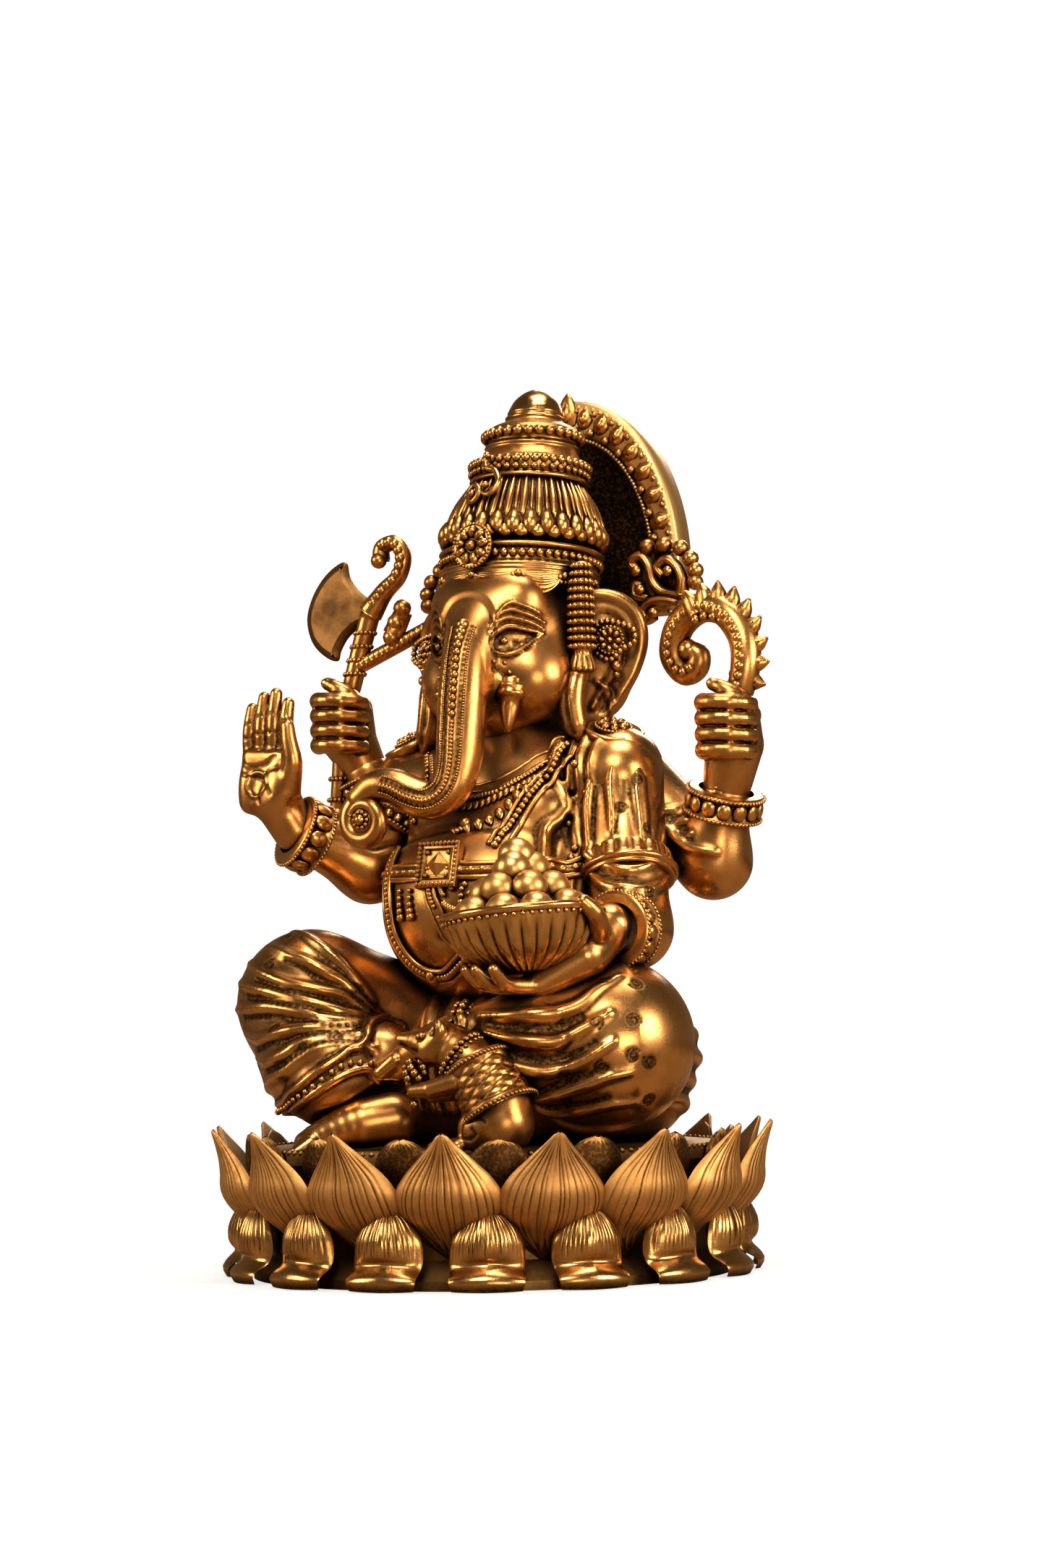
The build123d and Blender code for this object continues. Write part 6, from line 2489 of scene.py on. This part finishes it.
# ---- the mouse -----------------------------------------------------------------------------
@dataclass
class Mouse:
    """The mouse beside the bowl, in its quilted saddle cloth, holding a bunch of fruit."""

    finishes: Finishes

    def body(self) -> Clay:
        """Carves the mouse."""
        block = Clay((2, -80, 40), (56, -44, 92), 0.45)
        block.rope(
            flowing([(41, -59, 51), (37.5, -58.5, 61), (30, -60, 70), (21.5, -62, 76.6)], 14),
            [10, 10, 8.8, 6.6], 0,
        )
        block.rope([(20, -62.4, 76.6), (13.4, -64, 76.8), (8.2, -65, 77.6)], [6.2, 4.2, 2.4], 2)
        block.ovoid((18.6, -66, 74), (4.6, 3.4, 4.2), 2)
        block.ovoid((36, -65.4, 49.4), (7.0, 4.2, 7.0), 2)
        block.rope([(30, -68, 44.5), (22, -69, 43.8)], [2.6, 2.2], 1.5)
        block.rope([(28, -66, 64), (21, -69, 62.0), (14, -68, 61.6)], [3.8, 3.0, 2.2], 1.5)
        block.rope([(29, -54, 64), (22, -56, 61), (16, -60, 60)], [4, 3.0, 2.5], 1.5)
        for centre, out in (((23.4, -67.6, 80.4), 1), ((25.5, -58.0, 82.6), 1)):
            block.ovoid(centre, (2.5, 2.2, 3.4), 1.2)
            block.ovoid(
                (centre[0] - 1.5, centre[1] - 1.4, centre[2] + 0.4), (1.5, 1.4, 2.2), 0.6, carve=True,
            )
        for line in (
            [
                (41, -69.6, 52), (37, -69.8, 54.5), (32.5, -69.5, 52.4), (31.5, -69.6, 48.4),
                (34.6, -69.8, 46.2), (37.6, -69.8, 48), (36.4, -69.8, 50),
            ],
            [(9.0, -67.4, 76.2), (12.4, -67.6, 74.8), (16.0, -68.6, 74.2)],
        ):
            block.groove(line, [0.4, 0.7, 0.4], 0.1, 0.6)
        block.ovoid((16.6, -68.6, 78.6), (2.3, 1.3, 1.5), 0.3, carve=True)
        block.ovoid((16.6, -67.8, 78.6), (1.6, 1.2, 1.1), 0.1)
        block.flat(2, DECK_LEVEL, keep_above=True)
        return block

    def build(self) -> None:
        """Makes the mouse and its saddle."""
        block = self.body()
        cast = Casting("mouse_casting")
        cast.clay(block, 2)
        rng = np.random.default_rng(SEED + 9)
        fruit = []
        for level, (number, reach) in enumerate(
            ((3, 2.6), (5, 3.9), (6, 4.6), (5, 4.0), (3, 2.6), (1, 0.4))
        ):
            for index in range(number):
                angle = 2 * math.pi * index / number + level
                fruit.append(
                    (
                        14 + 0.8 * reach * math.cos(angle) + rng.uniform(-0.3, 0.3),
                        -66.5 + reach * 0.7 * math.sin(angle), 70.6 - 1.7 * level,
                    )
                )
        cast.beads(np.array(fruit), 1.35)
        cast.beads(np.array([[14.0, -67.5, 57.4]]), 1.5)
        turn = full_turn(24)
        pose = seat((27.0, -60.8, 72.2), (-0.75, -0.1, 0.6), (0, 1.0, 0))
        for radius, size, shift in ((8.5, 1.1, 0.0), (8.7, 0.75, -1.9)):
            ring = circle(radius, turn, shift)
            cast.beads(carried(ring, pose), size)
        cast.beads(block.settle([(16.6, -69, 78.6)], 0.2), 0.8)
        cast.make(["mouse_body"], self.finishes.shadowed)
        saddle = Casting("saddle_cloth")
        rows, sides = 40, 72
        start, end = np.array([40.8, -59.2, 54.6]), np.array([31.6, -58.8, 70.6])
        way = unit((end - start)[None])[0]
        frame_side = unit(np.cross(way, np.array([0, 1.0, 0]))[None])[0]
        frame_up = np.cross(frame_side, way)
        s = np.linspace(0, 1, rows)[:, None]
        turn = full_turn(sides)[None]
        quilt_a = np.abs(np.sin(4.6 * math.pi * s + 7 * turn / 2))
        quilt_b = np.abs(np.sin(4.6 * math.pi * s - 7 * turn / 2))
        seam = np.minimum(quilt_a, quilt_b)
        radius = 11.8 - 1.6 * s + 0.9 * np.clip(seam * 1.6, 0, 1) ** 0.5 - 0.6
        band = (s < 0.14) | (s > 0.88)
        radius = np.where(band, 12.4 - 1.6 * s, radius)
        dark = np.where(band, 0.0, np.clip(1 - seam / 0.32, 0, 1) * 0.9)
        core = start + (end - start) * s
        points = core[:, None] + frame_side * (
            radius * np.cos(turn)
        )[..., None] + frame_up * (radius * np.sin(turn))[..., None]
        points[..., 2] = np.maximum(points[..., 2], 42.1)
        saddle.add(points.reshape(-1, 3), grid_faces(rows, sides, True, flip=True), dark.ravel())
        for part in (0.05, 0.93):
            spot = start + (end - start) * part
            ring_turn = full_turn(52)
            reach = 12.5 - 1.6 * part
            ring = spot + np.outer(
                reach * np.cos(ring_turn), frame_side,
            ) + np.outer(reach * np.sin(ring_turn), frame_up)
            saddle.beads(ring[ring[:, 2] > 43], 0.8)
        saddle.make(["mouse_saddle"], self.finishes.shadowed)


# ---- jewellery and sashes on the chest -----------------------------------------------------
@dataclass
class Jewellery:
    """Belt, clasp, garland, necklace and sash, laid on the carved torso."""

    finishes: Finishes
    torso: Clay

    def strip(
        self, cast: Casting, line: Line, half: float, thick: float, count: int = 60, ridge: bool = True,
    ) -> np.ndarray:
        """Lays a flat band along the torso, with a raised wire at each edge.

        Args:
            cast: The piece it goes into.
            line: Points that its middle passes through.
            half: Half its width.
            thick: How far it stands out.
            count: How many samples it has.
            ridge: Whether it has edge wires.

        Returns:
            The middle of the band, on its outer face.
        """
        run = self.torso.laid(line, count, thick * 0.4)
        out = self.torso.slope(run)
        ahead = unit(np.gradient(run, axis=0))
        side = unit(np.cross(ahead, out))
        steps = np.array([-1.0, -0.94, -0.5, 0.0, 0.5, 0.94, 1.0])
        lifts = np.array([-1.2, 0.55, 0.6, 0.6, 0.6, 0.55, -1.2]) * thick
        points = run[:, None] + side[:, None] * (steps * half)[
            None, :, None,
        ] + out[:, None] * lifts[None, :, None]
        cast.add(points.reshape(-1, 3), grid_faces(count, 7, False), 0.25)
        if ridge:
            for way in (-1, 1):
                cast.tube(run + side * half * 0.9 * way + out * thick * 0.55, 0.62, 8, up=(0.1, -1, 0.1))
        return run + out * thick * 0.6

    def belt(self) -> None:
        """Lays the belt, its row of small blocks and a dark band under them, painted shade in the gap."""
        cast = Casting("waist_belt")
        centre = np.array([0.0, 9.0])
        turn = full_turn(120)
        for low, high, out in ((129.2, 131.4, 1.5), (134.6, 136.8, 1.5)):
            middle_z = (low + high) / 2
            ring = np.stack(
                [centre[0] + 42 * np.cos(turn), centre[1] + 42 * np.sin(turn), np.full(120, middle_z)], 1,
            )
            cast.tube(self.torso.settle(ring, out * 0.4), (high - low) / 2, 10, closed=True)
        ring = np.stack(
            [centre[0] + 42 * np.cos(turn), centre[1] + 42 * np.sin(turn), np.full(120, 133.0)], 1,
        )
        # Painted shade: a dark band between the two ridges, behind the blocks.
        cast.tube(self.torso.settle(ring, 0.1), 1.9, 8, closed=True, dark=0.5)
        count = 64
        turn = full_turn(count)
        ring = np.stack(
            [centre[0] + 42 * np.cos(turn), centre[1] + 42 * np.sin(turn), np.full(count, 133.0)], 1,
        )
        places = self.torso.settle(ring, 1.4)
        out_ways = self.torso.slope(places)
        along = np.stack([-np.sin(turn), np.cos(turn), np.zeros(count)], 1)
        cast.stamp(BEAD, stance(places, out_ways, along), np.array([1.55, 1.15, 0.9]), 0.5)
        cast.make(["belt"], self.finishes.trim)

    def clasp(self) -> None:
        """Builds the square clasp with its beaded edge and faceted diamond."""
        cast = Casting("belt_clasp_plate")
        spot = np.array([[0.0, -29.8, 134.0]])
        turned = Matrix.Rotation(math.radians(-14), 4, "X")
        out = np.array([list(turned @ Vector((0, -1, 0)))])
        up = np.array([list(turned @ Vector((0, 0, 1)))])
        pose = stance(spot, out, up)[0]
        size = 7.8
        levels = (
            (size, -2.0), (size, 0.9), (size - 0.5, 1.4), (size - 1.0, 1.4), (size - 1.4, 0.9),
            (size - 2.4, 0.8), (size - 2.9, 1.3), (size - 3.3, 0.5), (0.2, 0.5),
        )
        rows = []
        for half, depth in levels:
            rows.append(
                np.array(
                    [
                        [half, half, depth], [-half, half, depth], [-half, -half, depth],
                        [half, -half, depth],
                    ]
                )
            )
        cast.add(np.vstack(rows) @ pose[:, :3].T + pose[:, 3], grid_faces(len(levels), 4, True), 0.15)
        diamond = np.array([[4.4, 0, 0.5], [0, 4.4, 0.5], [-4.4, 0, 0.5], [0, -4.4, 0.5], [0, 0, 2.6]])
        faces = np.array([[0, 1, 4, 4], [1, 2, 4, 4], [2, 3, 4, 4], [3, 0, 4, 4]])
        for face in faces:
            cast.add(diamond[face[:3]] @ pose[:, :3].T + pose[:, 3], np.array([[0, 1, 2, 2]]), -0.3)
        steps = np.linspace(-1, 1, 10)[:-1]
        edge = size - 0.9
        places = np.vstack(
            [
                np.stack([steps * edge, np.full(9, -edge)], 1),
                np.stack([np.full(9, edge), steps * edge], 1),
                np.stack([-steps * edge, np.full(9, edge)], 1),
                np.stack([np.full(9, -edge), -steps * edge], 1),
            ]
        )
        spots = np.hstack([places, np.full((36, 1), 1.3)]) @ pose[:, :3].T + pose[:, 3]
        cast.beads(spots, 0.8)
        corners = np.array([[3.9, 3.9, 1.1], [-3.9, 3.9, 1.1], [-3.9, -3.9, 1.1], [3.9, -3.9, 1.1]])
        cast.beads(carried(corners, pose), 0.8)
        cast.make(["belt_clasp"], self.finishes.trim, smooth=False)

    def garland(self) -> None:
        """Hangs the garland below the belt: a bead row between two wires, and a lower swag of bead drops."""
        cast = Casting("garland_swag")
        upper = [
            (-25, -14, 139), (-24, -19, 131), (-22, -23, 122), (-20, -22, 112), (-15.5, -22.5, 102),
            (-9.5, -25, 95.5), (-2, -26, 95), (5, -26, 101), (12, -26, 108),
        ]
        line = flowing(upper, 90)
        out = self.torso.slope(self.torso.settle(line, 0.5))
        seated = self.torso.settle(line, 1.2)
        ahead = unit(np.gradient(seated, axis=0))
        side = unit(np.cross(ahead, out))
        cast.tube(seated + side * 2.5, 0.85, 8, up=(0.1, -1, 0.1))
        cast.tube(seated - side * 2.5, 0.85, 8, up=(0.1, -1, 0.1))
        # Painted shade: a dark flat band under the bead row, between the two wires.
        cast.tube(seated - out * 0.8, 2.2, 8, squash=0.5, up=(0.1, -1, 0.1), dark=0.8)
        places = seated[1::2]
        cast.beads(places, 1.25)
        low = self.torso.settle([(-9.6, -30, 92.0), (-9.4, -30, 88.6)], 1.6)
        cast.beads(low, 1.9)
        swag = [
            (-3, -31, 126.4), (-1, -33, 121), (4, -34.5, 116.5), (10, -35, 114), (18, -33, 114.5),
            (25, -29, 119),
        ]
        run = self.strip(cast, swag, 2.2, 0.9, 50)
        cast.beads(run[1:-1:2], 1.0)
        inner = [
            (1.5, -31.5, 126.4), (3.6, -34, 122.4), (8, -35, 119.4), (14, -34.5, 119), (21, -31, 122),
        ]
        chain = self.torso.laid(inner, 26, 0.7)
        cast.beads(chain, 1.05)
        for start in ((-11, -28, 125.6), (-15.8, -26, 125.6), (9, -30, 125.8), (14, -28, 126)):
            drop = self.torso.settle(
                flowing([start, (start[0] * 1.03, start[1] - 3, start[2] - 8.5)], 5), 0.8,
            )
            cast.beads(drop, np.array([0.9, 1.0, 1.15, 1.35, 1.6]))
        cast.make(["garland"], self.finishes.trim)

    def necklace(self) -> None:
        """Lays the necklace band, the bead string, the leaf drops, the sash wire and the shawl's knots."""
        cast = Casting("necklaces_and_sash")
        band = [
            (27, 6, 178), (22, -1, 172), (15, -7, 166), (7, -9, 161.6), (-6, -9, 161), (-15, -7, 165),
            (-23, -1, 171), (-27, 6, 178),
        ]
        self.strip(cast, band, 2.0, 1.0, 90)
        lower = flowing([(x * 0.98, y - 1, z - 3.4) for x, y, z in band], 56)
        cast.beads(self.torso.settle(lower, 0.5), 1.15)
        string = self.torso.laid(
            [
                (28.5, 3, 177), (25.5, -3, 166), (21.8, -9, 156), (18.6, -13, 149), (16.2, -16, 142),
                (14.6, -18, 137.5),
            ],
            24, 0.7,
        )
        cast.beads(string, 1.25)
        mirrored = self.torso.laid(
            [(-28.5, 3, 177), (-26, -3, 167), (-24, -8, 158), (-23, -11, 150)], 16, 0.7,
        )
        cast.beads(mirrored, 1.25)
        for line in (
            [
                (31, 3, 175), (28.4, -3, 165), (24.6, -8, 156), (21.6, -12, 149), (19.6, -15, 142),
                (18, -17, 137),
            ],
            [
                (26, 0, 174), (22, -5.5, 163), (18.6, -10, 155), (15.8, -13, 148), (13.6, -16, 141),
                (12.4, -18, 137),
            ],
        ):
            cast.tube(self.torso.laid(line, 50, 0.5), 0.95, 8, up=(0.1, -1, 0.1))
        leaves = self.torso.laid(
            [
                (20.3, -8, 159.5), (17.2, -11, 155.5), (14, -14, 152), (10, -16, 148.4),
                (5.4, -17, 145.6), (0, -18, 144.4),
            ],
            8, 0.7,
        )
        out = self.torso.slope(leaves)
        cast.stamp(
            LEAF, stance(leaves, out, np.array([[0.5, -0.2, -1.0]])), np.array([2.6, 1.7, 1.3]), 0.8,
        )
        second = self.torso.laid(
            [(23, -3, 165), (17, -8, 160), (9, -11, 156), (0, -12.5, 154), (-9, -11, 156), (-17, -8, 160)],
            22, 0.6,
        )
        out = self.torso.slope(second)
        cast.stamp(LEAF, stance(second, out, np.array([[0, -0.2, -1.0]])), np.array([1.8, 1.3, 1.1]), 0.7)
        pendant = self.torso.settle([(3.2, -17.5, 147.2), (2.4, -18.5, 143.6), (2.0, -19, 141.2)], 0.9)
        cast.beads(pendant, np.array([2.0, 1.1, 0.9]))
        knots = self.torso.settle(
            [
                (33.5, 1, 167), (37.4, 3, 157.6), (31.5, 1, 147.1), (36, -3, 138.8), (35.6, -5, 135.8),
                (40, 5, 146),
            ],
            0.4,
        )
        cast.beads(knots, 1.35)
        cast.make([], self.finishes.trim)

    def build(self) -> None:
        """Makes all the jewellery of the chest."""
        self.belt()
        self.clasp()
        self.garland()
        self.necklace()


def main() -> None:
    logging.basicConfig(level=logging.INFO, format="%(name)s: %(message)s")
    finishes = Finishes()
    LotusBase(finishes).build()
    carved = Body(finishes).build()
    Arms(finishes).build()
    Head(finishes).build()
    Crown(finishes).build()
    Attributes(finishes).build()
    Mouse(finishes).build()
    Jewellery(finishes, carved["torso"][2]).build()
    Studio().build()


if __name__ == "__main__":
    main()
